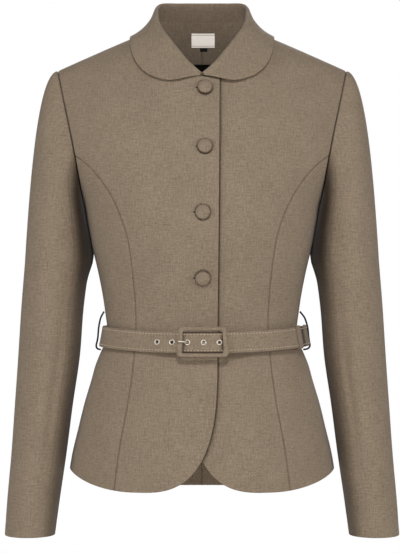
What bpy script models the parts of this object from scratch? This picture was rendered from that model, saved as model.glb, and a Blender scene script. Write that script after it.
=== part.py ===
"""Belted princess-line jacket with a rounded collar, as the closed cloth solids of its cut pieces.

Metres, +Z up. The front faces -Y and the wearer's right is at -X. The origin lies between the
shoulders, where the jacket is carried. One body form gives every cloth surface, and two pieces that
meet share the samples of their seam, so each seam keeps an even gap.
"""
import math
from collections import namedtuple

import bmesh
import bpy
import numpy as np

for old_object in list(bpy.data.objects):
    bpy.data.objects.remove(old_object, do_unlink=True)

# Finishes, in linear colour
Finish = namedtuple("Finish", "colour roughness metallic")
SUITING = Finish((0.270, 0.209, 0.153), 0.85, 0.0)
LINING = Finish((0.012, 0.009, 0.008), 0.60, 0.0)
LABEL_WHITE = Finish((0.650, 0.580, 0.510), 0.80, 0.0)
STEEL = Finish((0.620, 0.600, 0.560), 0.30, 1.0)

# Cloth and seams
CLOTH = 0.0020
SEAM_HALF_GAP = 0.0002
LINING_CLOTH = 0.0010
LINING_GAP = 0.0026

# Shoulder line: a ridge that falls to each side, and the drop over which cloth rolls off it
RIDGE_TOP = 0.0291
SHOULDER_SLOPE = 0.46
RIDGE_ROUND = 0.045
SHOULDER_ROLL = 0.16
ROLL_END = SHOULDER_ROLL * math.pi / 2
SECTION_POWER = 2.3
FRONT, BACK = -1.0, 1.0

# Level sections of the body form
Ring = namedtuple("Ring", "z half_width front_depth back_depth")
BODY_RINGS = (
    Ring(0.030, 0.2140, 0.0700, 0.1000),
    Ring(-0.045, 0.2120, 0.0790, 0.1056),
    Ring(-0.110, 0.2030, 0.0960, 0.1105),
    Ring(-0.155, 0.1870, 0.1094, 0.1120),
    Ring(-0.190, 0.1710, 0.1180, 0.1113),
    Ring(-0.225, 0.1580, 0.1235, 0.1093),
    Ring(-0.250, 0.1535, 0.1247, 0.1070),
    Ring(-0.281, 0.1475, 0.1208, 0.1022),
    Ring(-0.313, 0.1400, 0.1128, 0.0968),
    Ring(-0.346, 0.1336, 0.1035, 0.0910),
    Ring(-0.371, 0.1300, 0.0985, 0.0883),
    Ring(-0.388, 0.1280, 0.0978, 0.0883),
    Ring(-0.405, 0.1292, 0.0992, 0.0903),
    Ring(-0.420, 0.1360, 0.1028, 0.0940),
    Ring(-0.437, 0.1430, 0.1066, 0.0985),
    Ring(-0.459, 0.1490, 0.1113, 0.1050),
    Ring(-0.491, 0.1585, 0.1190, 0.1145),
    Ring(-0.524, 0.1667, 0.1258, 0.1228),
    Ring(-0.556, 0.1745, 0.1312, 0.1288),
    Ring(-0.590, 0.1800, 0.1360, 0.1340),
    Ring(-0.640, 0.1860, 0.1410, 0.1390),
)

# Neck, armhole and seam lines, as seen from the front or the back
Spot = namedtuple("Spot", "x z")
NECK_HALF_WIDTH = 0.072
FRONT_NECK_RUN = 0.1712
FRONT_NECK_POWER = 1.4
BACK_NECK_DROP = 0.018
SHOULDER_TIP_X = 0.1944
ARMPIT_Z = -0.225
FRONT_NOTCH = Spot(0.1690, -0.1588)
BACK_NOTCH_Z = -0.150
FRONT_PRINCESS = (
    Spot(0.1537, -0.1709), Spot(0.1264, -0.2028), Spot(0.1016, -0.2561), Spot(0.0905, -0.3226),
    Spot(0.0873, -0.3856), Spot(0.0958, -0.4756), Spot(0.1079, -0.5429),
)
FRONT_PRINCESS_HEM_X = 0.115
BACK_PRINCESS = (
    Spot(0.1500, -0.1600), Spot(0.1120, -0.2050), Spot(0.0860, -0.2900), Spot(0.0750, -0.3800),
    Spot(0.0810, -0.4700), Spot(0.0910, -0.5500),
)
BACK_PRINCESS_HEM_X = 0.097

# Front edge: a lapped straight edge, then a round cut away to the hem
EDGE_TOP = Spot(-0.0232, -0.0592)
EDGE_WAIST = Spot(-0.0200, -0.4280)
CUTAWAY_FOOT_X = 0.083
CUTAWAY_POWER = 2.8
CUTAWAY_CORNER = math.radians(52)
LAP_INSET = 0.0032
LAP_FULL_X, LAP_END_X = 0.030, 0.062

# Hem heights
HEM_SIDE_Z = -0.5765
HEM_FRONT_Z, HEM_FRONT_REACH = -0.5990, math.radians(60)
HEM_BACK_Z, HEM_BACK_REACH = -0.6135, math.radians(75)

# Samples along the seams
LAP_STEPS, NECK_STEPS, SHOULDER_STEPS = 2, 4, 4
UPPER_ARM_STEPS, LOWER_ARM_STEPS = 7, 5
SEAM_STEPS = 15
NOTCH_CROWDING, WAIST_CROWDING, WAIST_SHARE = 1.2, 0.35, 0.55

# Sleeve: level rings below the cap
SleeveRing = namedtuple("SleeveRing", "z centre_x half_width centre_y half_depth")
SLEEVE_RINGS = (
    SleeveRing(-0.300, 0.1955, 0.0435, 0.0020, 0.0580),
    SleeveRing(-0.362, 0.2020, 0.0420, 0.0030, 0.0560),
    SleeveRing(-0.427, 0.2065, 0.0415, 0.0010, 0.0535),
    SleeveRing(-0.491, 0.2130, 0.0390, -0.0050, 0.0510),
    SleeveRing(-0.556, 0.2190, 0.0370, -0.0130, 0.0480),
    SleeveRing(-0.621, 0.2260, 0.0350, -0.0230, 0.0450),
    SleeveRing(-0.664, 0.2300, 0.0335, -0.0300, 0.0430),
)
SLEEVE_SEAT = 0.0004
CAP_STEPS, ARM_STEPS = 6, 6
CAP_REACH = 0.55
CAP_SPREAD = 0.65
CAP_LIFT = 0.10
CAP_SPLAY = 0.06
ARMPIT_TUCK = 0.16

# Collar: the line it rolls over, and its outer edge as runs from the shoulder line (back is minus)
RollSpot = namedtuple("RollSpot", "x y z")
ROLL_LINE = (
    RollSpot(0.0000, 0.0500, 0.0544), RollSpot(0.0320, 0.0478, 0.0541), RollSpot(0.0560, 0.0395, 0.0525),
    RollSpot(0.0615, 0.0240, 0.0462), RollSpot(0.0612, 0.0070, 0.0367), RollSpot(0.0580, -0.0180, 0.0190),
    RollSpot(0.0480, -0.0380, 0.0024), RollSpot(0.0338, -0.0540, -0.0169),
    RollSpot(0.0202, -0.0650, -0.0340), RollSpot(0.0020, -0.0725, -0.0512),
)
EdgeSpot = namedtuple("EdgeSpot", "share x run")
COLLAR_EDGE = (
    EdgeSpot(0.00, 0.0000, -0.1050), EdgeSpot(0.25, 0.0600, -0.0810), EdgeSpot(0.45, 0.0940, 0.0000),
    EdgeSpot(0.60, 0.0920, 0.0945), EdgeSpot(0.75, 0.0705, 0.1495), EdgeSpot(0.85, 0.0435, 0.1715),
    EdgeSpot(0.93, 0.0223, 0.1743), EdgeSpot(0.965, 0.0125, 0.1735), EdgeSpot(1.00, 0.0022, 0.1720),
)
COLLAR_CLOTH = 0.0022
COLLAR_SEAT = 0.0010
ROLL_RADIUS, ROLL_RADIUS_AT_FRONT = 0.0026, 0.0015
ROLL_NARROWS_AT = 0.75
ROLL_TURN = math.radians(155)
FALL_LEAVE, FALL_ARRIVE = 0.26, 0.33
STAND_TUCK, STAND_SWING, STAND_OUT, STAND_LIFT = -0.0010, 0.0028, 0.0004, 0.0003
COLLAR_STEPS = 17
STAND_STEPS, ROLL_STEPS, FALL_STEPS = 3, 4, 5

# Buttons, from the foot of the shank to the crown
BUTTON_SPOTS = (Spot(0.0040, -0.0707), Spot(0.0037, -0.1497), Spot(0.0010, -0.2358), Spot(0.0010, -0.3212))
TurnSpot = namedtuple("TurnSpot", "radius height")
BUTTON_PROFILE = (
    TurnSpot(0.0030, 0.0003), TurnSpot(0.0030, 0.0012), TurnSpot(0.0093, 0.0014), TurnSpot(0.0100, 0.0026),
    TurnSpot(0.0090, 0.0043), TurnSpot(0.0060, 0.0056), TurnSpot(0.0022, 0.0062),
)
BUTTON_SIDES = 16

# Belt: one strip from the buckle bar round the waist and over its own start
BELT_Z, BELT_DIP = -0.4003, 0.0068
BELT_HALF_WIDTH, BELT_CLOTH = 0.0140, 0.0028
BELT_OFF, BELT_OFF_BUCKLE, BELT_OFF_OVER = 0.0030, 0.0082, 0.0063
BELT_START, BELT_TIP = math.radians(1.0), math.radians(458)
BELT_STEPS = 68
RAMP_UP = (math.radians(330), math.radians(349))
RAMP_DOWN = (math.radians(376), math.radians(394))

# Eyelets
EYELET_X = (-0.0557, -0.0370, -0.0182, 0.0020, 0.0213)
EYELET_HOLE = 0.0022
EYELET_CUT_UNDER, EYELET_CUT_OVER = 0.0002, 0.0010
EYELET_PROFILE = (
    TurnSpot(0.0023, 0.0003), TurnSpot(0.0039, 0.0003), TurnSpot(0.0037, 0.0008),
    TurnSpot(0.0031, 0.0011), TurnSpot(0.0024, 0.0008),
)
EYELET_SIDES = 12

# Buckle
BUCKLE_X = 0.0007
BUCKLE_LENGTH, BUCKLE_HEIGHT, BUCKLE_CORNER = 0.0615, 0.0400, 0.0055
WINDOW_LENGTH, WINDOW_HEIGHT, WINDOW_CORNER = 0.0495, 0.0295, 0.0022
BUCKLE_THICKNESS = 0.0045
BUCKLE_CLEAR = 0.0005
BUCKLE_OFF = BELT_OFF_BUCKLE + BELT_CLOTH + BUCKLE_CLEAR
BUCKLE_SECTION_POWER = 3.2
BUCKLE_CORNER_STEPS, BUCKLE_SIDE_STEPS, BUCKLE_SECTION_STEPS = 4, 5, 8
BAR_X, BAR_OFF, BAR_RADIUS, BAR_REACH = 0.0115, 0.0070, 0.0009, 0.0170
BAR_BEND_OFF, BAR_BEND_RISE = 0.0008, 0.0010
LUG_TUCK = 0.0002
PathSpot = namedtuple("PathSpot", "x off")
PRONG_RADIUS = 0.0008
PRONG_PATH = (
    PathSpot(0.0098, 0.0070), PathSpot(-0.0080, 0.0067), PathSpot(-0.0155, 0.0067), PathSpot(-0.0177, 0.0079),
    PathSpot(-0.0183, 0.0096), PathSpot(-0.0187, 0.0118), PathSpot(-0.0200, 0.0146),
    PathSpot(-0.0228, 0.0168), PathSpot(-0.0258, 0.0174), PathSpot(-0.0292, 0.0173),
)
PRONG_STEPS = 20
WIRE_SIDES = 6

# Keeper on the belt and thread loops at the side seams
KEEPER_ANGLES = (math.radians(66.0), math.radians(72.5))
KEEPER_STEPS = 4
KEEPER_CLOTH, KEEPER_INNER_OFF, KEEPER_OUTER_OFF = 0.0012, 0.0014, 0.0107
KEEPER_CLEAR = 0.0004
LoopSpot = namedtuple("LoopSpot", "share z")
LOOP_PATH = (
    LoopSpot(0.00, -0.3665), LoopSpot(0.54, -0.3752), LoopSpot(0.88, -0.3855), LoopSpot(1.00, -0.3960),
    LoopSpot(0.96, -0.4055), LoopSpot(0.80, -0.4130), LoopSpot(0.50, -0.4180), LoopSpot(0.00, -0.4215),
)
LOOP_RADIUS = 0.0012
LOOP_SEAT = 0.0016
LOOP_STEPS = 15
LOOP_OFF_RIGHT, LOOP_OFF_LEFT = 0.0122, 0.0162

# Facing inside the back neck, with the label and the size tab on it
FACING_SHARE = 0.30
FACING_TOP_Z, FACING_FOOT_Z, FACING_ROWS = 0.0280, -0.0291, 4
FACING_INSET, FACING_CLOTH = 0.0017, 0.0010
LABEL_X, LABEL_HALF_WIDTH, LABEL_TOP_Z, LABEL_FOOT_Z = 0.0015, 0.0158, 0.0133, -0.0062
TAB_X, TAB_HALF_WIDTH, TAB_FOOT_Z = 0.0024, 0.0051, -0.0113
PATCH_COLUMNS, PATCH_ROWS = 5, 2
LABEL_CLOTH, LABEL_GAP = 0.0008, 0.0003
TAB_GAP = 0.0003

# Lining on the inside of the back
LINING_TOP_DROP, LINING_TOP_SIDE_DROP = 0.053, 0.030
LINING_FOOT_Z = -0.565
LINING_SIDE_ANGLE = math.radians(78)
LINING_ARM_Z, LINING_ARM_MARGIN, LINING_ARM_EASE = -0.085, 0.014, 0.050
LINING_COLUMNS, LINING_ROWS = 8, 18


def smooth_curve(at, knots, values):
    """Cubic curve through the knots, in rising order, with slopes taken from their neighbours."""
    knots = np.asarray(knots, dtype=float)
    values = np.asarray(values, dtype=float)
    slopes = np.gradient(values, knots, axis=0)
    at = np.clip(np.asarray(at, dtype=float), knots[0], knots[-1])
    first = np.clip(np.searchsorted(knots, at, side="right") - 1, 0, len(knots) - 2)
    step = knots[first + 1] - knots[first]
    share = (at - knots[first]) / step
    trailing = (1,) * (values.ndim - 1)
    share = share.reshape(share.shape + trailing)
    step = step.reshape(step.shape + trailing)
    square, cube = share**2, share**3
    return ((2 * cube - 3 * square + 1) * values[first] + (cube - 2 * square + share) * step * slopes[first]
            + (3 * square - 2 * cube) * values[first + 1] + (cube - square) * step * slopes[first + 1])


def ease(value, start, end):
    """Smooth step from 0 at start to 1 at end."""
    share = np.clip((value - start) / (end - start), 0.0, 1.0)
    return share * share * (3.0 - 2.0 * share)


def unit(vectors):
    """Vectors along the last axis, made one unit long."""
    return vectors / np.linalg.norm(vectors, axis=-1, keepdims=True)


def shares_along(points):
    """Share of the whole length at each point of a line."""
    lengths = np.linalg.norm(np.diff(points, axis=0), axis=1)
    return np.concatenate(([0.0], np.cumsum(lengths))) / lengths.sum()


RING_TABLE = np.array(BODY_RINGS)[::-1]


def body_size(z, column):
    """Half width, front depth or back depth of the body form at a height."""
    return smooth_curve(z, RING_TABLE[:, 0], RING_TABLE[:, Ring._fields.index(column)])


def ridge(x):
    """Height of the shoulder line."""
    return RIDGE_TOP - SHOULDER_SLOPE * (np.sqrt(x * x + RIDGE_ROUND**2) - RIDGE_ROUND)


def drop_at(run):
    """Drop below the shoulder line after a run over the cloth: an arc, then straight down."""
    arc = SHOULDER_ROLL * (1.0 - np.cos(np.minimum(run, ROLL_END) / SHOULDER_ROLL))
    return arc + np.maximum(run - ROLL_END, 0.0)


def run_at(drop):
    """Run over the cloth that gives a drop below the shoulder line."""
    arc = SHOULDER_ROLL * np.arccos(1.0 - np.clip(drop / SHOULDER_ROLL, 0.0, 1.0))
    return arc + np.maximum(drop - SHOULDER_ROLL, 0.0)


def body_point(turn, run, face):
    """Point of the body form at a turn from the centre line and a run from the shoulder line."""
    drop = drop_at(run)
    x = np.zeros_like(drop)
    for _ in range(14):
        x = body_size(ridge(x) - drop, "half_width") * np.sin(turn)
    z = ridge(x) - drop
    depth = body_size(z, "front_depth" if face == FRONT else "back_depth")
    across = np.minimum(np.abs(np.sin(turn)), 1.0)
    roundness = (1.0 - across**SECTION_POWER) ** (1.0 / SECTION_POWER)
    y = face * depth * roundness * np.sin(np.minimum(run, ROLL_END) / SHOULDER_ROLL)
    return np.stack((x, y, z), axis=-1)


def body_normal(turn, run, face):
    """Outward direction of the body form, from small steps along it."""
    step_turn, step_run = 0.004, 0.001
    limit = math.pi / 2
    across = (body_point(np.minimum(turn + step_turn, limit), run, face)
              - body_point(np.maximum(turn - step_turn, -limit), run, face))
    down = body_point(turn, run + step_run, face) - body_point(turn, np.maximum(run - step_run, 0.0), face)
    return unit(face * np.cross(across, down))


def place_on_form(x, z):
    """Turn and run of the body form's point that shows at x and z."""
    x, z = np.broadcast_arrays(np.asarray(x, dtype=float), np.asarray(z, dtype=float))
    turn = np.arcsin(np.clip(x / body_size(z, "half_width"), -1.0, 1.0))
    return np.stack((turn, run_at(ridge(x) - z)), axis=-1)


def hem_height(turn, face):
    """Height of the hem at a turn from the centre line."""
    low, reach = (HEM_FRONT_Z, HEM_FRONT_REACH) if face == FRONT else (HEM_BACK_Z, HEM_BACK_REACH)
    return HEM_SIDE_Z + (low - HEM_SIDE_Z) * ease((math.pi / 2 - np.abs(turn)) / reach, 0.0, 1.0)


def hem_line(turns, face):
    """Turns and runs along the hem."""
    z = hem_height(turns, face)
    x = body_size(z, "half_width") * np.sin(turns)
    return np.stack((turns, run_at(ridge(x) - z)), axis=-1)


SHOULDER_TIP_Z = float(ridge(np.array(SHOULDER_TIP_X)))
ARMPIT_X = float(body_size(np.array(ARMPIT_Z), "half_width"))
ARM_MIDDLE_Z = (SHOULDER_TIP_Z + ARMPIT_Z) / 2
ARM_HALF_HEIGHT = (SHOULDER_TIP_Z - ARMPIT_Z) / 2


def armhole_x(z):
    """Distance of the armhole from the centre line at a height."""
    return smooth_curve(z, (ARMPIT_Z, FRONT_NOTCH.z, SHOULDER_TIP_Z), (ARMPIT_X, FRONT_NOTCH.x, SHOULDER_TIP_X))


def armhole_line(start_z, end_z, steps):
    """Turns and runs down the armhole between two heights, closer together where it bends."""
    ends = np.arccos(np.clip((np.array([start_z, end_z]) - ARM_MIDDLE_Z) / ARM_HALF_HEIGHT, -1.0, 1.0))
    z = ARM_MIDDLE_Z + ARM_HALF_HEIGHT * np.cos(np.linspace(ends[0], ends[1], steps + 1))
    return place_on_form(armhole_x(z), z)


def seam_shares():
    """Shares down a long seam, closer together below the armhole and at the waist."""
    share = np.linspace(0.0, 1.0, SEAM_STEPS + 1) ** NOTCH_CROWDING
    wave = np.sin(2 * math.pi * (share - WAIST_SHARE)) + math.sin(2 * math.pi * WAIST_SHARE)
    return share - WAIST_CROWDING / (2 * math.pi) * wave


def princess_line(notch, spots, hem_x, face):
    """Turns and runs down a princess seam, from the armhole notch to the hem."""
    turn = math.asin(hem_x / float(body_size(np.array(HEM_FRONT_Z), "half_width")))
    foot = Spot(hem_x, float(hem_height(np.array(turn), face)))
    points = np.array((notch,) + spots + (foot,))
    line = smooth_curve(seam_shares(), shares_along(points), points)
    return place_on_form(line[:, 0], line[:, 1])


def side_line():
    """Turns and runs down the side seam, from the armpit to the hem."""
    z = ARMPIT_Z + (HEM_SIDE_Z - ARMPIT_Z) * seam_shares()
    return place_on_form(body_size(z, "half_width"), z)


def shoulder_line():
    """Turns and runs along the shoulder seam, outwards."""
    x = np.linspace(NECK_HALF_WIDTH, SHOULDER_TIP_X, SHOULDER_STEPS + 1)
    return place_on_form(x, ridge(x))


def neck_line(face):
    """Turns and runs along the neck from the centre line out to the shoulder."""
    angle = np.linspace(0.0, math.pi / 2, NECK_STEPS + 1)
    if face == FRONT:
        x = NECK_HALF_WIDTH * np.sin(angle) ** (2.0 / FRONT_NECK_POWER)
        run = FRONT_NECK_RUN * np.maximum(np.cos(angle), 0.0) ** (2.0 / FRONT_NECK_POWER)
        z = ridge(x) - drop_at(run)
    else:
        x = NECK_HALF_WIDTH * np.sin(angle)
        z = ridge(x) - BACK_NECK_DROP * np.cos(angle) ** 2
    return place_on_form(x, z)


def cutaway_spot(angle):
    """Point of the round cut from the front edge, at angle 0, to the hem, at a right angle."""
    x = CUTAWAY_FOOT_X - (CUTAWAY_FOOT_X - EDGE_WAIST.x) * np.cos(angle) ** (2.0 / CUTAWAY_POWER)
    z = EDGE_WAIST.z + (HEM_FRONT_Z - EDGE_WAIST.z) * np.sin(angle) ** (2.0 / CUTAWAY_POWER)
    return x, z


def front_edge(heights):
    """Turns and runs down the front edge: the straight lap, then the start of the round cut."""
    share = (heights - EDGE_TOP.z) / (EDGE_WAIST.z - EDGE_TOP.z)
    straight = EDGE_TOP.x + (EDGE_WAIST.x - EDGE_TOP.x) * share
    sine = np.clip((heights - EDGE_WAIST.z) / (HEM_FRONT_Z - EDGE_WAIST.z), 0.0, 1.0) ** (CUTAWAY_POWER / 2)
    round_x, _ = cutaway_spot(np.arcsin(sine))
    return place_on_form(np.where(heights > EDGE_WAIST.z, straight, round_x), heights)


def coons(top, bottom, left, right):
    """Grid between four lines: top and bottom run outwards, left and right run downwards."""
    out = ((shares_along(top) + shares_along(bottom)) / 2)[None, :, None]
    down = ((shares_along(left) + shares_along(right)) / 2)[:, None, None]
    between_ends = (1 - down) * top[None] + down * bottom[None]
    between_sides = (1 - out) * left[:, None] + out * right[:, None]
    corners = ((1 - down) * ((1 - out) * top[0] + out * top[-1])
               + down * ((1 - out) * bottom[0] + out * bottom[-1]))
    return between_ends + between_sides - corners


def part_edges(grid, gap):
    """Grid whose outer rows and columns are drawn in by the gap."""
    parted = grid.copy()
    parted[0] += gap * unit(grid[1] - grid[0])
    parted[-1] += gap * unit(grid[-2] - grid[-1])
    parted[:, 0] += gap * unit(grid[:, 1] - grid[:, 0])
    parted[:, -1] += gap * unit(grid[:, -2] - grid[:, -1])
    return parted


def make_material(name, finish):
    """Material of one linear colour."""
    material = bpy.data.materials.new(name)
    material.use_nodes = True
    shader = material.node_tree.nodes["Principled BSDF"]
    shader.inputs["Base Color"].default_value = finish.colour + (1.0,)
    shader.inputs["Roughness"].default_value = finish.roughness
    shader.inputs["Metallic"].default_value = finish.metallic
    return material


def add_solid(name, points, faces, finish):
    """Object made of the points and faces, its faces turned outwards."""
    mesh = bpy.data.meshes.new(name)
    mesh.from_pydata(np.asarray(points).tolist(), [], faces)
    form = bmesh.new()
    form.from_mesh(mesh)
    bmesh.ops.recalc_face_normals(form, faces=form.faces[:])
    form.to_mesh(mesh)
    form.free()
    mesh.shade_smooth()
    mesh.set_sharp_from_angle(angle=math.radians(40))
    mesh.materials.append(make_material(name, finish))
    solid = bpy.data.objects.new(name, mesh)
    bpy.context.scene.collection.objects.link(solid)
    return solid


def shell_solid(name, outer, inner, finish, mirrored=False):
    """Closed wall between two grids of the same size."""
    rows, columns = outer.shape[:2]
    points = np.concatenate((outer.reshape(-1, 3), inner.reshape(-1, 3)))
    if mirrored:
        points = points * (-1.0, 1.0, 1.0)
    front = np.arange(rows * columns).reshape(rows, columns)
    back = front + rows * columns
    faces = []
    for row in range(rows - 1):
        for column in range(columns - 1):
            for side, turn in ((front, 1), (back, -1)):
                a, b = side[row, column], side[row + 1, column]
                c, d = side[row + 1, column + 1], side[row, column + 1]
                faces.append([int(v) for v in (a, b, c)][::turn])
                faces.append([int(v) for v in (a, c, d)][::turn])
    rim = [(r, 0) for r in range(rows)] + [(rows - 1, c) for c in range(1, columns)]
    rim += [(r, columns - 1) for r in range(rows - 2, -1, -1)] + [(0, c) for c in range(columns - 2, 0, -1)]
    for here, there in zip(rim, rim[1:] + rim[:1]):
        first, last = sorted((here, there))
        faces.append([int(front[first]), int(front[last]), int(back[last])])
        faces.append([int(front[first]), int(back[last]), int(back[first])])
    return add_solid(name, points, faces, finish)


def loft_solid(name, sections, finish, closed=False):
    """Closed solid through a row of rings of points, capped at its ends unless it closes on itself."""
    count, around = sections.shape[:2]
    faces = []
    for here in range(count if closed else count - 1):
        there = (here + 1) % count
        for k in range(around):
            after = (k + 1) % around
            faces.append([here * around + k, here * around + after, there * around + after, there * around + k])
    if not closed:
        faces.append(list(range(around))[::-1])
        faces.append(list(range((count - 1) * around, count * around)))
    return add_solid(name, sections.reshape(-1, 3), faces, finish)


def tube_solid(name, path, side, radius, finish):
    """Round wire along a path that bends in one plane, whose normal is side."""
    along = unit(np.gradient(path, axis=0))
    other = unit(np.cross(along, side))
    angles = np.linspace(0.0, 2 * math.pi, WIRE_SIDES, endpoint=False)[None, :, None]
    sections = path[:, None] + radius * (np.cos(angles) * side + np.sin(angles) * other[:, None])
    return loft_solid(name, sections, finish)


def turned_sections(profile, centre, axis, sides):
    """Rings of points turned round an axis, one for each spot of a profile."""
    level = unit(np.cross(axis, (0.0, 0.0, 1.0)))
    upright = np.cross(level, axis)
    angles = np.linspace(0.0, 2 * math.pi, sides, endpoint=False)[:, None]
    circle = np.cos(angles) * level + np.sin(angles) * upright
    return np.array([centre + spot.radius * circle + spot.height * axis for spot in profile])


def cloth_grids(places, face, inset=0.0, wall=CLOTH):
    """Outer and inner points of a panel at its turns and runs."""
    turn, run = places[..., 0], places[..., 1]
    normal = body_normal(turn, run, face)
    outer = body_point(turn, run, face) - normal * np.asarray(inset)[..., None]
    return outer, outer - normal * wall


def add_panel(name, places, face, mirrored, inset=0.0):
    """Panel of the jacket cloth, drawn in at its seams."""
    outer, inner = cloth_grids(places, face, inset)
    shell_solid(name, part_edges(outer, SEAM_HALF_GAP), part_edges(inner, SEAM_HALF_GAP), SUITING, mirrored)


FRONT_UPPER_ARM = armhole_line(SHOULDER_TIP_Z, FRONT_NOTCH.z, UPPER_ARM_STEPS)
FRONT_LOWER_ARM = armhole_line(FRONT_NOTCH.z, ARMPIT_Z, LOWER_ARM_STEPS)
BACK_UPPER_ARM = armhole_line(SHOULDER_TIP_Z, BACK_NOTCH_Z, UPPER_ARM_STEPS)
BACK_LOWER_ARM = armhole_line(BACK_NOTCH_Z, ARMPIT_Z, LOWER_ARM_STEPS)
BACK_NOTCH = Spot(float(armhole_x(np.array(BACK_NOTCH_Z))), BACK_NOTCH_Z)
FRONT_SEAM = princess_line(FRONT_NOTCH, FRONT_PRINCESS, FRONT_PRINCESS_HEM_X, FRONT)
BACK_SEAM = princess_line(BACK_NOTCH, BACK_PRINCESS, BACK_PRINCESS_HEM_X, BACK)


def front_places():
    """Turns and runs of a centre front, from its lapped edge to its princess seam."""
    neck = neck_line(FRONT)
    corner = place_on_form(EDGE_TOP.x, EDGE_TOP.z)
    lap = corner + (neck[0] - corner) * np.linspace(0.0, 1.0, LAP_STEPS + 1)[:-1, None]
    top = np.concatenate((lap, neck, shoulder_line()[1:]))
    right = np.concatenate((FRONT_UPPER_ARM, FRONT_SEAM[1:]))
    heights = body_point(right[:, 0], right[:, 1], FRONT)[:, 2]
    fall = (heights - heights[0]) / (heights[-1] - heights[0])
    corner_x, corner_z = cutaway_spot(CUTAWAY_CORNER)
    left = front_edge(EDGE_TOP.z + (corner_z - EDGE_TOP.z) * fall)
    round_steps = len(top) // 2 + 1
    angles = np.linspace(CUTAWAY_CORNER, math.pi / 2, round_steps + 1)
    round_x, round_z = cutaway_spot(angles)
    round_part = place_on_form(round_x, round_z)
    turns = np.linspace(round_part[-1, 0], right[-1, 0], len(top) - round_steps)
    bottom = np.concatenate((round_part, hem_line(turns, FRONT)[1:]))
    bottom[-1] = right[-1]
    return coons(top, bottom, left, right)


def back_places():
    """Turns and runs of a centre back, from the centre-back seam to its princess seam."""
    top = np.concatenate((neck_line(BACK), shoulder_line()[1:]))
    right = np.concatenate((BACK_UPPER_ARM, BACK_SEAM[1:]))
    bottom = hem_line(np.linspace(0.0, right[-1, 0], len(top)), BACK)
    bottom[-1] = right[-1]
    run = top[0, 1] + (bottom[0, 1] - top[0, 1]) * (right[:, 1] - right[0, 1]) / (right[-1, 1] - right[0, 1])
    left = np.stack((np.zeros_like(run), run), axis=-1)
    return coons(top, bottom, left, right)


def side_places(seam, lower_arm, face):
    """Turns and runs of a side panel, from its princess seam to the side seam."""
    right = side_line()
    bottom = hem_line(np.linspace(seam[-1, 0], math.pi / 2, len(lower_arm)), face)
    bottom[0], bottom[-1] = seam[-1], right[-1]
    return coons(lower_arm, bottom, seam, right)


def add_body():
    """The eight panels of the body; the right front laps over the left."""
    front = front_places()
    centre_x = body_point(front[..., 0], front[..., 1], FRONT)[..., 0]
    lapped = LAP_INSET * (1.0 - ease(centre_x, LAP_FULL_X, LAP_END_X))
    add_panel("front_right", front, FRONT, True, np.zeros_like(lapped))
    add_panel("front_left", front, FRONT, False, lapped)
    panels = (
        ("side_front", side_places(FRONT_SEAM, FRONT_LOWER_ARM, FRONT), FRONT),
        ("back", back_places(), BACK),
        ("side_back", side_places(BACK_SEAM, BACK_LOWER_ARM, BACK), BACK),
    )
    for name, places, face in panels:
        add_panel(name + "_right", places, face, True, np.zeros(places.shape[:2]))
        add_panel(name + "_left", places, face, False, np.zeros(places.shape[:2]))


def armhole_loop():
    """Points of the whole armhole: front notch, up to the tip, down the back and under the arm."""
    front_up = body_point(FRONT_UPPER_ARM[::-1, 0], FRONT_UPPER_ARM[::-1, 1], FRONT)
    back_down = body_point(BACK_UPPER_ARM[1:, 0], BACK_UPPER_ARM[1:, 1], BACK)
    back_under = body_point(BACK_LOWER_ARM[1:, 0], BACK_LOWER_ARM[1:, 1], BACK)
    front_under = body_point(FRONT_LOWER_ARM[-2:0:-1, 0], FRONT_LOWER_ARM[-2:0:-1, 1], FRONT)
    return np.concatenate((front_up, back_down, back_under, front_under))


def sleeve_angles(loop):
    """Angle round the arm for each armhole point: 0 outside, a half turn at the armpit, front minus."""
    tip, armpit = UPPER_ARM_STEPS, 2 * UPPER_ARM_STEPS + LOWER_ARM_STEPS
    back_share = shares_along(loop[tip:armpit + 1])
    front_share = shares_along(np.concatenate((loop[armpit:], loop[:tip + 1]))[::-1])
    back = math.pi * back_share**CAP_SPREAD
    front = -math.pi * front_share**CAP_SPREAD
    return np.concatenate((front[tip:0:-1], back, front[-2:tip:-1]))


def sleeve_ring(angles, z):
    """Points of the sleeve's level ring at a height."""
    table = np.array(SLEEVE_RINGS)[::-1]
    centre_x, half_width, centre_y, half_depth = smooth_curve(z, table[:, 0], table[:, 1:])
    return np.stack((centre_x + half_width * np.cos(angles), centre_y + half_depth * np.sin(angles),
                     np.full_like(angles, z)), axis=-1)


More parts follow.
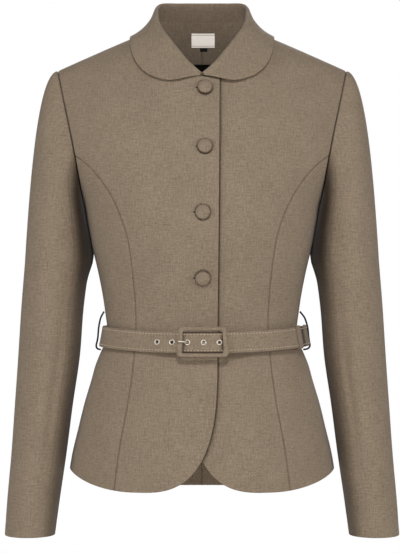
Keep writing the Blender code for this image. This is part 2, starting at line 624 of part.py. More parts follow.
def sleeve_grids():
    """Outer and inner points of the whole sleeve, rows from the armhole to the cuff."""
    loop = armhole_loop() + (SLEEVE_SEAT, 0.0, 0.0)
    angles = sleeve_angles(loop)
    first = sleeve_ring(angles, SLEEVE_RINGS[0].z)
    height = ((loop[:, 2] - ARMPIT_Z) / (SHOULDER_TIP_Z - ARMPIT_Z)).clip(0.0, 1.0)[:, None]
    span = np.abs(first - loop)
    leave = unit(height * (1.0, 0.0, -CAP_LIFT) + (1.0 - height) * (-ARMPIT_TUCK, 0.0, -1.0))
    near = loop + leave * CAP_REACH * (span[:, :1] * height + span[:, 2:] * (1.0 - height))
    splay = CAP_SPLAY * (1.0 + np.cos(angles)) / 2
    rise = np.stack((-splay, np.zeros(len(loop)), np.ones(len(loop))), axis=-1)
    far = first + rise * CAP_REACH * span[:, 2:]
    rows = []
    for t in np.linspace(0.0, 1.0, CAP_STEPS + 1):
        rows.append((1 - t)**3 * loop + 3 * t * (1 - t)**2 * near + 3 * t * t * (1 - t) * far + t**3 * first)
    for z in np.linspace(SLEEVE_RINGS[0].z, SLEEVE_RINGS[-1].z, ARM_STEPS + 1)[1:]:
        rows.append(sleeve_ring(angles, z))
    outer = np.array(rows)
    along = np.gradient(outer, axis=0)
    around = np.roll(outer, -1, axis=1) - np.roll(outer, 1, axis=1)
    normal = unit(np.cross(along, around))
    return outer, outer - normal * CLOTH


def add_sleeves():
    """Top and under sleeve on each side."""
    outer, inner = sleeve_grids()
    split = 2 * UPPER_ARM_STEPS
    top = list(range(split + 1))
    under = list(range(split, outer.shape[1])) + [0]
    for name, columns in (("sleeve_top", top), ("sleeve_under", under)):
        outer_part = part_edges(outer[:, columns], SEAM_HALF_GAP)
        inner_part = part_edges(inner[:, columns], SEAM_HALF_GAP)
        shell_solid(name + "_right", outer_part, inner_part, SUITING, True)
        shell_solid(name + "_left", outer_part, inner_part, SUITING)


def neck_edge():
    """Points and normals of the neck edge from the centre back to the centre front, on straight chords."""
    lines = []
    for face, line in ((BACK, neck_line(BACK)), (FRONT, neck_line(FRONT)[::-1])):
        lines.append(np.concatenate((body_point(line[:, 0], line[:, 1], face),
                                     body_normal(line[:, 0], line[:, 1], face)), axis=1))
    whole = np.concatenate((lines[0], lines[1][1:]))
    shares = shares_along(whole[:, :3])
    at = np.linspace(0.0, 1.0, COLLAR_STEPS + 1)
    chords = np.stack([np.interp(at, shares, whole[:, k]) for k in range(6)], axis=-1)
    return chords[:, :3], unit(chords[:, 3:])


def collar_edge():
    """Points and normals of the collar's outer edge on the body form, from the centre back to the front."""
    at = np.linspace(0.0, 1.0, COLLAR_STEPS + 1)
    table = np.array(COLLAR_EDGE)
    line = smooth_curve(at, table[:, 0], table[:, 1:])
    points, normals = [], []
    for x, signed_run in line:
        face = FRONT if signed_run >= 0 else BACK
        z = float(ridge(x)) - float(drop_at(abs(signed_run)))
        turn, run = place_on_form(x, z)
        points.append(body_point(turn, run, face))
        normals.append(body_normal(turn, run, face))
    return np.array(points), np.array(normals)


def collar_half():
    """Middle surface of half the collar: rows from the stand's foot over the roll to the outer edge."""
    foot, foot_normal = neck_edge()
    edge, edge_normal = collar_edge()
    roll_table = np.array(ROLL_LINE)
    at = np.linspace(0.0, 1.0, COLLAR_STEPS + 1)
    roll = smooth_curve(at, shares_along(roll_table), roll_table)
    rise = unit(roll - foot)
    facing = np.sum(rise * foot_normal, axis=1, keepdims=True)
    foot_off = np.clip(STAND_TUCK + STAND_SWING * facing, STAND_TUCK, STAND_OUT)
    foot = foot + foot_normal * foot_off + rise * STAND_LIFT
    edge = edge + edge_normal * (COLLAR_SEAT + COLLAR_CLOTH / 2)
    rise = unit(roll - foot)
    out = edge - roll
    out = unit(out - rise * np.sum(out * rise, axis=1, keepdims=True))
    radius = (ROLL_RADIUS + (ROLL_RADIUS_AT_FRONT - ROLL_RADIUS) * ease(at, ROLL_NARROWS_AT, 1.0))[:, None]
    middle = roll - rise * radius
    rows = []
    top_of_stand = middle - out * radius
    for t in np.linspace(0.0, 1.0, STAND_STEPS + 1):
        rows.append(foot + (top_of_stand - foot) * t)
    for angle in np.linspace(0.0, ROLL_TURN, ROLL_STEPS + 1)[1:]:
        rows.append(middle + radius * (rise * math.sin(angle) - out * math.cos(angle)))
    start = rows[-1]
    length = np.linalg.norm(edge - start, axis=1, keepdims=True)
    leave = rise * math.cos(ROLL_TURN) + out * math.sin(ROLL_TURN)
    arrive = edge - start
    arrive = unit(arrive - edge_normal * np.sum(arrive * edge_normal, axis=1, keepdims=True))
    near = start + leave * length * FALL_LEAVE
    far = edge - arrive * length * FALL_ARRIVE
    for t in np.linspace(0.0, 1.0, FALL_STEPS + 1)[1:]:
        rows.append((1 - t)**3 * start + 3 * t * (1 - t)**2 * near + 3 * t * t * (1 - t) * far + t**3 * edge)
    return np.array(rows)


def add_collar():
    """Collar of one folded piece, its two ends meeting at the centre front."""
    half = collar_half()
    mirrored = half[:, :0:-1] * (-1.0, 1.0, 1.0)
    middle = np.concatenate((mirrored, half), axis=1)
    normal = unit(np.cross(np.gradient(middle, axis=0), np.gradient(middle, axis=1)))
    outer = middle + normal * COLLAR_CLOTH / 2
    inner = middle - normal * COLLAR_CLOTH / 2
    shell_solid("collar", outer, inner, SUITING)


def add_buttons():
    """Domed covered buttons on short shanks, down the right front."""
    for number, spot in enumerate(BUTTON_SPOTS, start=1):
        turn, run = place_on_form(spot.x, spot.z)
        centre = body_point(turn, run, FRONT)
        sections = turned_sections(BUTTON_PROFILE, centre, body_normal(turn, run, FRONT), BUTTON_SIDES)
        loft_solid("button_%d" % number, sections, SUITING)


def waist_point(angle, z):
    """Point round the body at a height; the angle is 0 at the centre front and grows towards +X."""
    sine, cosine = np.sin(angle), np.cos(angle)
    depth = np.where(cosine >= 0, body_size(z, "front_depth"), body_size(z, "back_depth"))
    x = body_size(z, "half_width") * np.sign(sine) * np.abs(sine) ** (2 / SECTION_POWER)
    y = -np.sign(cosine) * depth * np.abs(cosine) ** (2 / SECTION_POWER)
    return np.stack((x, y, z), axis=-1)


def belt_middle(angle):
    """Middle of the belt's seat on the body, and the way up along the belt's width."""
    z = BELT_Z - BELT_DIP * np.maximum(np.cos(angle), 0.0) ** 2
    top, foot = waist_point(angle, z + BELT_HALF_WIDTH), waist_point(angle, z - BELT_HALF_WIDTH)
    return (top + foot) / 2, unit(top - foot)


def belt_place(angle, off, rise):
    """Point at a distance off the body's waist and a rise above the belt's middle."""
    angle = np.asarray(angle, dtype=float)
    middle, up = belt_middle(angle)
    along = unit(belt_middle(angle + 0.02)[0] - belt_middle(angle - 0.02)[0])
    out = unit(np.cross(along, up))
    return middle + out * np.asarray(off)[..., None] + up * np.asarray(rise)[..., None]


def belt_angle(x):
    """Angle round the body at which the belt's middle on the front has a given x."""
    half_width = float(body_size(np.array(BELT_Z - BELT_DIP), "half_width"))
    return np.sign(x) * np.arcsin((np.abs(x) / half_width) ** (SECTION_POWER / 2))


def belt_off(angle):
    """Distance of the strip's inner face from the body as it winds on."""
    up = ease(angle, *RAMP_UP) * (BELT_OFF_BUCKLE - BELT_OFF)
    down = ease(angle, *RAMP_DOWN) * (BELT_OFF_BUCKLE - BELT_OFF_OVER)
    return BELT_OFF + up - down


def strap_face(x):
    """Point and outward direction of the strap's outer face over the front at a given x."""
    angle = belt_angle(x) + 2 * math.pi
    here, before, after = [belt_place(a, belt_off(a) + BELT_CLOTH, 0.0)
                           for a in (angle, angle - 0.02, angle + 0.02)]
    return here, unit(np.cross(after - before, belt_middle(angle)[1]))


def add_belt():
    """Belt strip with a hole cut for each eyelet, and the eyelet rings."""
    angles = np.linspace(BELT_START, BELT_TIP, BELT_STEPS + 1)
    off = belt_off(angles)
    corners = ((0.0, 1.0), (0.0, -1.0), (BELT_CLOTH, -1.0), (BELT_CLOTH, 1.0))
    sections = np.stack([belt_place(angles, off + out, np.full_like(off, side * BELT_HALF_WIDTH))
                         for out, side in corners], axis=1)
    belt = loft_solid("belt", sections, SUITING)
    for number, x in enumerate(EYELET_X, start=1):
        face_point, axis = strap_face(x)
        ring = turned_sections(EYELET_PROFILE, face_point, axis, EYELET_SIDES)
        loft_solid("eyelet_%d" % number, ring, STEEL, closed=True)
        reach = (TurnSpot(EYELET_HOLE, -BELT_CLOTH - EYELET_CUT_UNDER), TurnSpot(EYELET_HOLE, EYELET_CUT_OVER))
        cutter = loft_solid("eyelet_cutter_%d" % number,
                            turned_sections(reach, face_point, axis, EYELET_SIDES), STEEL)
        cutter.hide_render = True
        cutter.display_type = "WIRE"
        cut = belt.modifiers.new("eyelet hole", "BOOLEAN")
        cut.operation = "DIFFERENCE"
        cut.object = cutter


def rounded_rectangle(length, height, corner):
    """Points round a rectangle with round corners, the same number at each corner."""
    corners = []
    for quarter, (side, level) in enumerate(((1, 1), (-1, 1), (-1, -1), (1, -1))):
        turns = quarter * math.pi / 2 + np.linspace(0.0, math.pi / 2, BUCKLE_CORNER_STEPS)
        corners.append(np.stack((side * (length / 2 - corner) + corner * np.cos(turns),
                                 level * (height / 2 - corner) + corner * np.sin(turns)), axis=-1))
    points = []
    for here, there in zip(corners, corners[1:] + corners[:1]):
        between = np.linspace(0.0, 1.0, BUCKLE_SIDE_STEPS + 1)[1:-1, None]
        points += [here, here[-1] + (there[0] - here[-1]) * between]
    return np.concatenate(points)


def add_buckle():
    """Covered frame, the wire bar on its back and the prong that rests on it."""
    outside = rounded_rectangle(BUCKLE_LENGTH, BUCKLE_HEIGHT, BUCKLE_CORNER)
    inside = rounded_rectangle(WINDOW_LENGTH, WINDOW_HEIGHT, WINDOW_CORNER)
    middle, half = (outside + inside) / 2, (outside - inside) / 2
    sections = []
    for angle in math.pi / BUCKLE_SECTION_STEPS * (2 * np.arange(BUCKLE_SECTION_STEPS) + 1):
        across = np.sign(math.cos(angle)) * abs(math.cos(angle)) ** (2 / BUCKLE_SECTION_POWER)
        through = np.sign(math.sin(angle)) * abs(math.sin(angle)) ** (2 / BUCKLE_SECTION_POWER)
        flat = middle + half * across
        off = np.full(len(flat), BUCKLE_OFF + BUCKLE_THICKNESS / 2 * (1 + through))
        sections.append(belt_place(belt_angle(BUCKLE_X + flat[:, 0]), off, flat[:, 1]))
    loft_solid("buckle_frame", np.stack(sections, axis=1), SUITING, closed=True)

    lug_off, bend_off, bend_rise = BUCKLE_OFF - LUG_TUCK, BAR_OFF + BAR_BEND_OFF, BAR_REACH - BAR_BEND_RISE
    bar_spots = ((lug_off, BAR_REACH), (bend_off, BAR_REACH), (BAR_OFF, bend_rise), (BAR_OFF, 0.0),
                 (BAR_OFF, -bend_rise), (bend_off, -BAR_REACH), (lug_off, -BAR_REACH))
    off, rise = np.array(bar_spots).T
    angle = np.full(len(off), float(belt_angle(BAR_X)))
    level = unit(belt_place(angle[0] + 0.02, BAR_OFF, 0.0) - belt_place(angle[0] - 0.02, BAR_OFF, 0.0))
    tube_solid("buckle_bar", belt_place(angle, off, rise), level, BAR_RADIUS, STEEL)

    spots = np.array(PRONG_PATH)
    path = smooth_curve(np.linspace(0.0, 1.0, PRONG_STEPS + 1), shares_along(spots), spots)
    angles = belt_angle(path[:, 0])
    points = belt_place(angles, path[:, 1], np.zeros(len(path)))
    upright = belt_middle(np.array(0.0))[1]
    tube_solid("buckle_prong", points, upright, PRONG_RADIUS, STEEL)


def add_keeper():
    """Fabric loop round both layers of the belt."""
    angles = np.linspace(KEEPER_ANGLES[0], KEEPER_ANGLES[1], KEEPER_STEPS + 1)
    inner_rise = BELT_HALF_WIDTH + KEEPER_CLEAR
    loops = []
    for wall in (KEEPER_CLOTH, 0.0):
        corners = ((KEEPER_INNER_OFF + KEEPER_CLOTH - wall, 1), (KEEPER_OUTER_OFF - KEEPER_CLOTH + wall, 1),
                   (KEEPER_OUTER_OFF - KEEPER_CLOTH + wall, -1), (KEEPER_INNER_OFF + KEEPER_CLOTH - wall, -1))
        loops.append(np.stack([belt_place(angles, np.full_like(angles, off),
                                          np.full_like(angles, side * (inner_rise + wall)))
                               for off, side in corners], axis=0))
    outside, inside = loops
    ring = np.concatenate((outside, inside[:, ::-1]), axis=1)
    loft_solid("belt_keeper", ring, SUITING, closed=True)


def add_belt_loops():
    """Thread loops that stand out over the belt at both side seams."""
    spots = np.array(LOOP_PATH)
    at = np.linspace(0.0, 1.0, LOOP_STEPS + 1)
    path = smooth_curve(at, np.linspace(0.0, 1.0, len(spots)), spots)
    share, z = path[:, 0].clip(0.0, 1.0), path[:, 1]
    for name, side, reach in (("right", -1.0, LOOP_OFF_RIGHT), ("left", 1.0, LOOP_OFF_LEFT)):
        x = body_size(z, "half_width") + LOOP_SEAT + share * (reach - LOOP_SEAT)
        points = np.stack((side * x, np.zeros_like(x), z), axis=-1)
        tube_solid("belt_loop_" + name, points, np.array((0.0, 1.0, 0.0)), LOOP_RADIUS, LINING)


def facing_plan():
    """Plan of the neck facing's outer face, from one end round the back neck to the other, and its way in."""
    foot, _ = neck_edge()
    half = foot[np.linspace(0.0, 1.0, COLLAR_STEPS + 1) <= FACING_SHARE, :2]
    plan = np.concatenate((half[:0:-1] * (-1.0, 1.0), half))
    along = unit(np.gradient(plan, axis=0))
    inwards = np.stack((along[:, 1], -along[:, 0]), axis=-1)
    return plan + inwards * FACING_INSET, inwards


def upright_grid(plan, heights):
    """Rows of points over a plan, one row for each height."""
    z = np.broadcast_to(np.asarray(heights)[:, None, None], (len(heights), len(plan), 1))
    return np.concatenate((np.broadcast_to(plan, (len(heights),) + plan.shape), z), axis=-1)


def add_patch(name, x_range, z_range, finish):
    """Flat piece on the neck facing between two x and two heights."""
    plan, inwards = facing_plan()
    face = plan + inwards * FACING_CLOTH
    x = np.linspace(*x_range, PATCH_COLUMNS)
    y = np.interp(x, face[:, 0], face[:, 1]) - LABEL_GAP
    heights = np.linspace(*z_range, PATCH_ROWS)
    grids = [upright_grid(np.stack((x, y - out), axis=-1), heights) for out in (0.0, LABEL_CLOTH)]
    shell_solid(name, grids[0], grids[1], finish)


def add_facing():
    """Neck facing with its label and size tab."""
    plan, inwards = facing_plan()
    heights = np.linspace(FACING_TOP_Z, FACING_FOOT_Z, FACING_ROWS)
    outer, inner = upright_grid(plan, heights), upright_grid(plan + inwards * FACING_CLOTH, heights)
    shell_solid("back_facing", outer, inner, SUITING)
    label_x = (LABEL_X - LABEL_HALF_WIDTH, LABEL_X + LABEL_HALF_WIDTH)
    add_patch("label", label_x, (LABEL_TOP_Z, LABEL_FOOT_Z), LABEL_WHITE)
    tab_x = (TAB_X - TAB_HALF_WIDTH, TAB_X + TAB_HALF_WIDTH)
    add_patch("size_tab", tab_x, (LABEL_FOOT_Z - TAB_GAP, TAB_FOOT_Z), LINING)


def add_lining():
    """Back lining, from below the neck to short of the hem."""
    side = np.linspace(0.0, 1.0, LINING_ROWS + 1)
    top_x = armhole_x(np.array(LINING_ARM_Z)) - LINING_ARM_MARGIN
    top_z = float(ridge(top_x)) - LINING_TOP_SIDE_DROP
    z = top_z + (LINING_FOOT_Z - top_z) * side
    arm = armhole_x(np.maximum(z, ARMPIT_Z)) - LINING_ARM_MARGIN
    below = body_size(z, "half_width") * math.sin(LINING_SIDE_ANGLE)
    past_arm = ease(z, ARMPIT_Z, ARMPIT_Z - LINING_ARM_EASE)
    right = place_on_form(np.minimum(arm + past_arm * (below - arm), below), z)
    out = np.linspace(-1.0, 1.0, LINING_COLUMNS + 1)
    centre_z = RIDGE_TOP - LINING_TOP_DROP
    top = place_on_form(out * top_x, centre_z + (top_z - centre_z) * out**2)
    foot_x = float(below[-1])
    bottom = place_on_form(out * foot_x, np.full_like(out, LINING_FOOT_Z))
    top[-1], bottom[-1] = right[0], right[-1]
    left = right * (-1.0, 1.0)
    top[0], bottom[0] = left[0], left[-1]
    places = coons(top, bottom, left, right)
    outer, inner = cloth_grids(places, BACK, np.full(places.shape[:2], CLOTH + LINING_GAP), LINING_CLOTH)
    shell_solid("lining_back", outer, inner, LINING)


add_body()
add_sleeves()
add_collar()
add_buttons()
add_belt()
add_buckle()
add_keeper()
add_belt_loops()
add_facing()
add_lining()
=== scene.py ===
"""Looks of a belted princess-line jacket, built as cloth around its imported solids.

Metres, +Z up. The front faces -Y and the wearer's right is at -X. Every cloth surface is worked out on one
body form, given by a turn from the centre line and a run over the cloth from the shoulder line.
"""
import logging
import math
from dataclasses import dataclass, replace
from enum import Enum
from typing import NamedTuple, Sequence

import bpy
import numpy as np
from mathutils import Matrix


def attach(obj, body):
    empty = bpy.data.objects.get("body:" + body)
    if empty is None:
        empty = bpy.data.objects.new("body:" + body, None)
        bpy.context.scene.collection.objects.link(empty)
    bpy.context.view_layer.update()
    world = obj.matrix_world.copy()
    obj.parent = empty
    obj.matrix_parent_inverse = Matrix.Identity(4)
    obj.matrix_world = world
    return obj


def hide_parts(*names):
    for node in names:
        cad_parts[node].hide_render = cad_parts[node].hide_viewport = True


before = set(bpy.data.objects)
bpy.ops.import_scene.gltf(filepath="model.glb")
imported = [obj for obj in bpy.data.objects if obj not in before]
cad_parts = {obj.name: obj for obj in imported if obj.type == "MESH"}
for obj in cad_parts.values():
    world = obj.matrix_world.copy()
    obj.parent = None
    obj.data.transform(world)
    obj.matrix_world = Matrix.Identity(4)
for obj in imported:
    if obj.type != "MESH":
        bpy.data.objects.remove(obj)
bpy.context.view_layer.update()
LOG = logging.getLogger("jacket")
Array = np.ndarray
Material = bpy.types.Material
Table = tuple[tuple[float, ...], ...]
Socket = bpy.types.NodeSocket | float | Sequence[float]
MIRROR = np.array((-1.0, 1.0, 1.0))
MM = 0.001
DEG = math.pi / 180
# Small turn that gives the direction along the belt
TURN_STEP = 0.02
# Edges bent by more than this are drawn sharp
SHARP = 60 * DEG
# Share of a pressed edge's half circle that is drawn, so that its two faces don't meet in a line
FOLD_LIMIT = 0.98


class Face(Enum):
    """Half of the body form, valued by the sign of its Y."""

    FRONT = -1.0
    BACK = 1.0


class Edge(Enum):
    """How a side of a cloth piece ends."""

    SEAM = "sewn to the next piece"
    FOLD = "turned in and pressed"


class Spot(NamedTuple):
    """Place seen from the front or the back."""

    x: float
    z: float


# Small sums on arrays


def smooth_curve(at: Array, knots: Sequence[float], values: Sequence) -> Array:
    """Cubic curve through knots in rising order, with slopes taken from their neighbours.

    Args:
        at: Places to read the curve at, held inside the knots.
        knots: Places of the known values.
        values: Known values, one row for each knot.

    Returns:
        The curve's values.
    """
    knots, values = np.asarray(knots, dtype=float), np.asarray(values, dtype=float)
    slopes = np.gradient(values, knots, axis=0)
    at = np.clip(np.asarray(at, dtype=float), knots[0], knots[-1])
    first = np.clip(np.searchsorted(knots, at, side="right") - 1, 0, len(knots) - 2)
    step = knots[first + 1] - knots[first]
    share = (at - knots[first]) / step
    trailing = (1,) * (values.ndim - 1)
    share, step = share.reshape(share.shape + trailing), step.reshape(step.shape + trailing)
    square, cube = share**2, share**3
    return ((2 * cube - 3 * square + 1) * values[first] + (cube - 2 * square + share) * step * slopes[first]
            + (3 * square - 2 * cube) * values[first + 1] + (cube - square) * step * slopes[first + 1])


def smooth_line(spots: Sequence, at: Array) -> Array:
    """Smooth curve through spots, read at shares of the length over them."""
    table = np.array(spots)
    return smooth_curve(at, shares_along(table), table)


def ease(value: Array, start: float, end: float) -> Array:
    """Smooth step from 0 at start to 1 at end."""
    share = np.clip((value - start) / (end - start), 0.0, 1.0)
    return share * share * (3.0 - 2.0 * share)


def bell(away: Array, reach: float) -> Array:
    """Bell curve of a distance: 1 at 0, and about a third at the reach."""
    return np.exp(-(away / reach) ** 2)


def even(steps: int) -> Array:
    """Shares from 0 to 1 in even steps."""
    return np.linspace(0.0, 1.0, steps + 1)


def full_turn(sides: int) -> Array:
    """Angles round a full turn in even steps, the last one short of the first."""
    return np.linspace(0.0, 2 * math.pi, sides, endpoint=False)


def joined(*parts: Array) -> Array:
    """Values side by side along a new last axis, each spread over the shape they share."""
    return np.stack(np.broadcast_arrays(*parts), axis=-1)


def unit(vectors: Array) -> Array:
    """Vectors along the last axis, made one unit long."""
    return vectors / np.maximum(np.linalg.norm(vectors, axis=-1, keepdims=True), 1e-12)


def shares_along(points: Array) -> Array:
    """Share of the whole length at each point of a line."""
    lengths = np.linalg.norm(np.diff(points, axis=0), axis=1)
    return np.concatenate(([0.0], np.cumsum(lengths))) / lengths.sum()


def bezier(ends: tuple[Array, Array, Array, Array], steps: int) -> Array:
    """Cubic Bezier rows between two lines of points.

    Args:
        ends: Start, first handle, second handle and end, each a line of points.
        steps: Number of steps from start to end.

    Returns:
        Rows of points, the start first.
    """
    t = even(steps)[:, None, None]
    a, b, c, d = ends
    return (1 - t)**3 * a + 3 * t * (1 - t)**2 * b + 3 * t * t * (1 - t) * c + t**3 * d


def coons(top: Array, bottom: Array, left: Array, right: Array) -> Array:
    """Grid between four lines: the sum of the two rulings less the one through the corners.

    Args:
        top: Line that runs outwards along the top.
        bottom: The same along the foot.
        left: Line that runs downwards on the inner side.
        right: The same on the outer side.

    Returns:
        Rows from top to bottom.
    """
    out = ((shares_along(top) + shares_along(bottom)) / 2)[None, :, None]
    down = ((shares_along(left) + shares_along(right)) / 2)[:, None, None]
    above, below = ((1 - out) * line[0] + out * line[-1] for line in (top, bottom))
    rulings = (1 - down) * top + down * bottom + (1 - out) * left[:, None] + out * right[:, None]
    return rulings - ((1 - down) * above + down * below)


def crowd_edges(grid: Array, near: Sequence[float] = (0.12, 0.28, 0.48, 0.72)) -> Array:
    """Grid with extra rows and columns close to its sides, by straight interpolation.

    Args:
        grid: Rows and columns of values.
        near: Places of the extra lines, in steps from each side.

    Returns:
        The larger grid.
    """
    for axis in (0, 1):
        last = grid.shape[axis] - 1
        extra = np.asarray(near)
        ticks = np.concatenate(([0.0], extra, np.arange(1.0, last), last - extra[::-1], [float(last)]))
        low = np.clip(np.floor(ticks).astype(int), 0, last - 1)
        share = (ticks - low).reshape((-1, 1, 1) if axis == 0 else (1, -1, 1))
        grid = np.take(grid, low, axis) * (1 - share) + np.take(grid, low + 1, axis) * share
    return grid


def double_lines(grid: Array) -> Array:
    """Grid with a new column halfway between each two, then a new row.

    Args:
        grid: Rows and columns of values.

    Returns:
        The larger grid.
    """
    for _ in range(2):
        middle = (grid[:, 1:] + grid[:, :-1]) / 2
        pairs = np.stack((grid[:, :-1], middle), axis=2).reshape(len(grid), -1, grid.shape[-1])
        grid = np.concatenate((pairs, grid[:, -1:]), axis=1).swapaxes(0, 1)
    return grid


def lengths_along(grid: Array, axis: int) -> Array:
    """Length over the surface from the first row or column to each point of a grid."""
    steps = np.linalg.norm(np.diff(grid, axis=axis), axis=-1)
    start = np.zeros_like(np.take(grid[..., 0], [0], axis))
    return np.concatenate((start, np.cumsum(steps, axis=axis)), axis=axis)


def grid_normals(grid: Array) -> Array:
    """Direction square to a grid's surface: its way down crossed with its way across."""
    return unit(np.cross(np.gradient(grid, axis=0), np.gradient(grid, axis=1)))


# Finishes


def linear(hex_colour: str) -> tuple[float, float, float, float]:
    """Linear colour of an sRGB hex value."""
    channels = [int(hex_colour[i:i + 2], 16) / 255 for i in (1, 3, 5)]
    return tuple(c / 12.92 if c <= 0.04045 else ((c + 0.055) / 1.055) ** 2.4 for c in channels) + (1.0,)


def feed(node: bpy.types.Node, inputs: dict[str | int, Socket]) -> None:
    """Link a node's inputs to the sockets that feed them, or set their values.

    Args:
        node: Shader node.
        inputs: Input name or number to its socket or value.
    """
    for name, source in inputs.items():
        if isinstance(source, bpy.types.NodeSocket):
            node.id_data.links.new(source, node.inputs[name])
        else:
            node.inputs[name].default_value = source


def add_node(tree: bpy.types.NodeTree, kind: str, inputs: dict[str | int, Socket] | None = None,
             **settings: object) -> bpy.types.NodeOutputs:
    """Add a shader node, set its settings, and link or set its inputs.

    Args:
        tree: Node tree that takes the node.
        kind: Blender's name for the node, after its ShaderNode.
        inputs: Input name or number to its socket or value.
        settings: Settings of the node itself.

    Returns:
        The node's outputs.
    """
    node = tree.nodes.new("ShaderNode" + kind)
    for key, value in settings.items():
        setattr(node, key, value)
    feed(node, inputs or {})
    return node.outputs


def new_material(name: str) -> tuple[Material, bpy.types.NodeTree, bpy.types.Node]:
    """Empty material with its tree and its Principled shader."""
    material = bpy.data.materials.new(name)
    material.use_nodes = True
    return material, material.node_tree, material.node_tree.nodes["Principled BSDF"]


@dataclass(frozen=True)
class Suiting:
    """Plain-weave wool-blend suiting of mixed yarns: matt, finely streaked both ways, a little fuzzy."""

    name: str = "wool_blend_suiting"
    dark_yarn: str = "#7D6D5C"
    light_yarn: str = "#A7957F"
    # Colour of the painted shade in seams, creases and where parts hide the light
    shade: str = "#28180B"
    # Real yarns lie about 0.5 mm apart, drawn three times as coarse so that they show
    yarn: float = 1.5 * MM
    slub_length: float = 15 * MM
    cloud: float = 45 * MM
    cloud_weight: float = 0.3
    levels: tuple[float, float] = (1.1, 2.2)
    bump: float = 0.35
    bump_depth: float = 0.25 * MM
    roughness: float = 0.88
    specular: float = 0.25
    sheen: float = 0.12
    sheen_roughness: float = 0.5

    def material(self) -> Material:
        """Streaks along both yarns mixed between two colours, with painted shade where the seam attribute is
        set, and a woven bump.

        Returns:
            The material, which reads a UV map in metres and the seam attribute, the depth of its painted
            shade.
        """
        material, tree, shader = new_material(self.name)
        uv = add_node(tree, "TexCoord")["UV"]
        streaks, waves = [], []
        grain = 2 * self.yarn
        for width, height in ((self.yarn, self.slub_length), (self.slub_length, self.yarn), (grain, grain)):
            mapped = add_node(tree, "Mapping", {"Vector": uv, "Scale": (1 / width, 1 / height, 1.0)})[0]
            streaks.append(add_node(tree, "TexNoise", {"Vector": mapped, "Scale": 1.0, "Detail": 2.0})["Fac"])
        cloud = add_node(tree, "TexNoise", {"Vector": uv, "Scale": 1 / self.cloud, "Detail": 1.0})["Fac"]
        both = add_node(tree, "Math", {0: streaks[0], 1: streaks[1]}, operation="ADD")[0]
        more = add_node(tree, "Math", {0: both, 1: streaks[2]}, operation="ADD")[0]
        soft = add_node(tree, "Math", {0: cloud, 1: self.cloud_weight, 2: more}, operation="MULTIPLY_ADD")[0]
        low, high = self.levels
        level = add_node(tree, "MapRange", {"Value": soft, "From Min": low, "From Max": high})[0]
        yarns = add_node(tree, "Mix", {"Factor": level, "A": linear(self.dark_yarn),
                                       "B": linear(self.light_yarn)}, data_type="RGBA")["Result"]
        # Painted shade: the seam attribute mixes the shade colour into the cloth
        seam = add_node(tree, "Attribute", attribute_name="seam")["Fac"]
        shaded = {"Factor": seam, "A": yarns, "B": linear(self.shade)}
        colour = add_node(tree, "Mix", shaded, data_type="RGBA")["Result"]
        split = add_node(tree, "SeparateXYZ", {0: uv})
        for way in ("X", "Y"):
            turns = add_node(tree, "Math", {0: split[way], 1: math.pi / self.yarn}, operation="MULTIPLY")[0]
            waves.append(add_node(tree, "Math", {0: turns}, operation="SINE")[0])
        weave = add_node(tree, "Math", {0: waves[0], 1: waves[1]}, operation="MULTIPLY")[0]
        height = add_node(tree, "Math", {0: weave, 1: more}, operation="ADD")[0]
        bump = add_node(tree, "Bump", {"Height": height, "Strength": self.bump,
                                       "Distance": self.bump_depth})[0]
        feed(shader, {"Base Color": colour, "Normal": bump, "Roughness": self.roughness,
                      "Specular IOR Level": self.specular, "Sheen Weight": self.sheen,
                      "Sheen Roughness": self.sheen_roughness})
        return material


@dataclass(frozen=True)
class Ribbed:
    """Viscose twill, woven tape or twisted thread: slanted ribs that catch the light in turn."""

    name: str
    colour: str
    rib_colour: str
    stripe: str = "#050404"
    rib: float = 1.2 * MM
    slant: float = 45 * DEG
    roughness: float = 0.45
    bump: float = 0.25
    bump_depth: float = 0.1 * MM
    # Painted light: an emission glow that keeps a white tape bright in the shade
    painted_glow: float = 0.0

    def material(self) -> Material:
        """Slanted ribs between two close colours, stripes where the seam attribute is set, a shallow bump and
        a painted glow.

        Returns:
            The material, which reads a UV map in metres, on a thread with its first axis round it.
        """
        material, tree, shader = new_material(self.name)
        uv = add_node(tree, "TexCoord")["UV"]
        slanted = add_node(tree, "Mapping", {"Vector": uv, "Rotation": (0.0, 0.0, self.slant)})[0]
        across = add_node(tree, "SeparateXYZ", {0: slanted})["X"]
        turns = add_node(tree, "Math", {0: across, 1: 2 * math.pi / self.rib}, operation="MULTIPLY")[0]
        ribs = add_node(tree, "Math", {0: turns}, operation="SINE")[0]
        level = add_node(tree, "MapRange", {"Value": ribs, "From Min": -1.0})[0]
        ground = add_node(tree, "Mix", {"Factor": level, "A": linear(self.colour),
                                        "B": linear(self.rib_colour)}, data_type="RGBA")["Result"]
        seam = add_node(tree, "Attribute", attribute_name="seam")["Fac"]
        shaded = {"Factor": seam, "A": ground, "B": linear(self.stripe)}
        colour = add_node(tree, "Mix", shaded, data_type="RGBA")["Result"]
        bump = add_node(tree, "Bump", {"Height": level, "Strength": self.bump,
                                       "Distance": self.bump_depth})[0]
        # Emission paints light on the piece so that it stays bright in the shade
        feed(shader, {"Base Color": colour, "Emission Color": colour, "Emission Strength": self.painted_glow,
                      "Normal": bump, "Roughness": self.roughness})
        return material


@dataclass(frozen=True)
class Mottled:
    """Hard surface rubbed in small patches, on Object coordinates: plated steel, or a painted floor."""

    name: str
    colour: str
    patch: float
    roughness: tuple[float, float]
    metallic: float = 0.0

    def material(self) -> Material:
        """Plain colour whose roughness varies between two values, in patches.

        Returns:
            The material, on Object coordinates.
        """
        material, tree, shader = new_material(self.name)
        place = add_node(tree, "TexCoord")["Object"]
        noise = add_node(tree, "TexNoise", {"Vector": place, "Scale": 1 / self.patch, "Detail": 2.0})["Fac"]
        low, high = self.roughness
        rough = add_node(tree, "MapRange", {"Value": noise, "To Min": low, "To Max": high})[0]
        feed(shader, {"Base Color": linear(self.colour), "Metallic": self.metallic, "Roughness": rough})
        return material


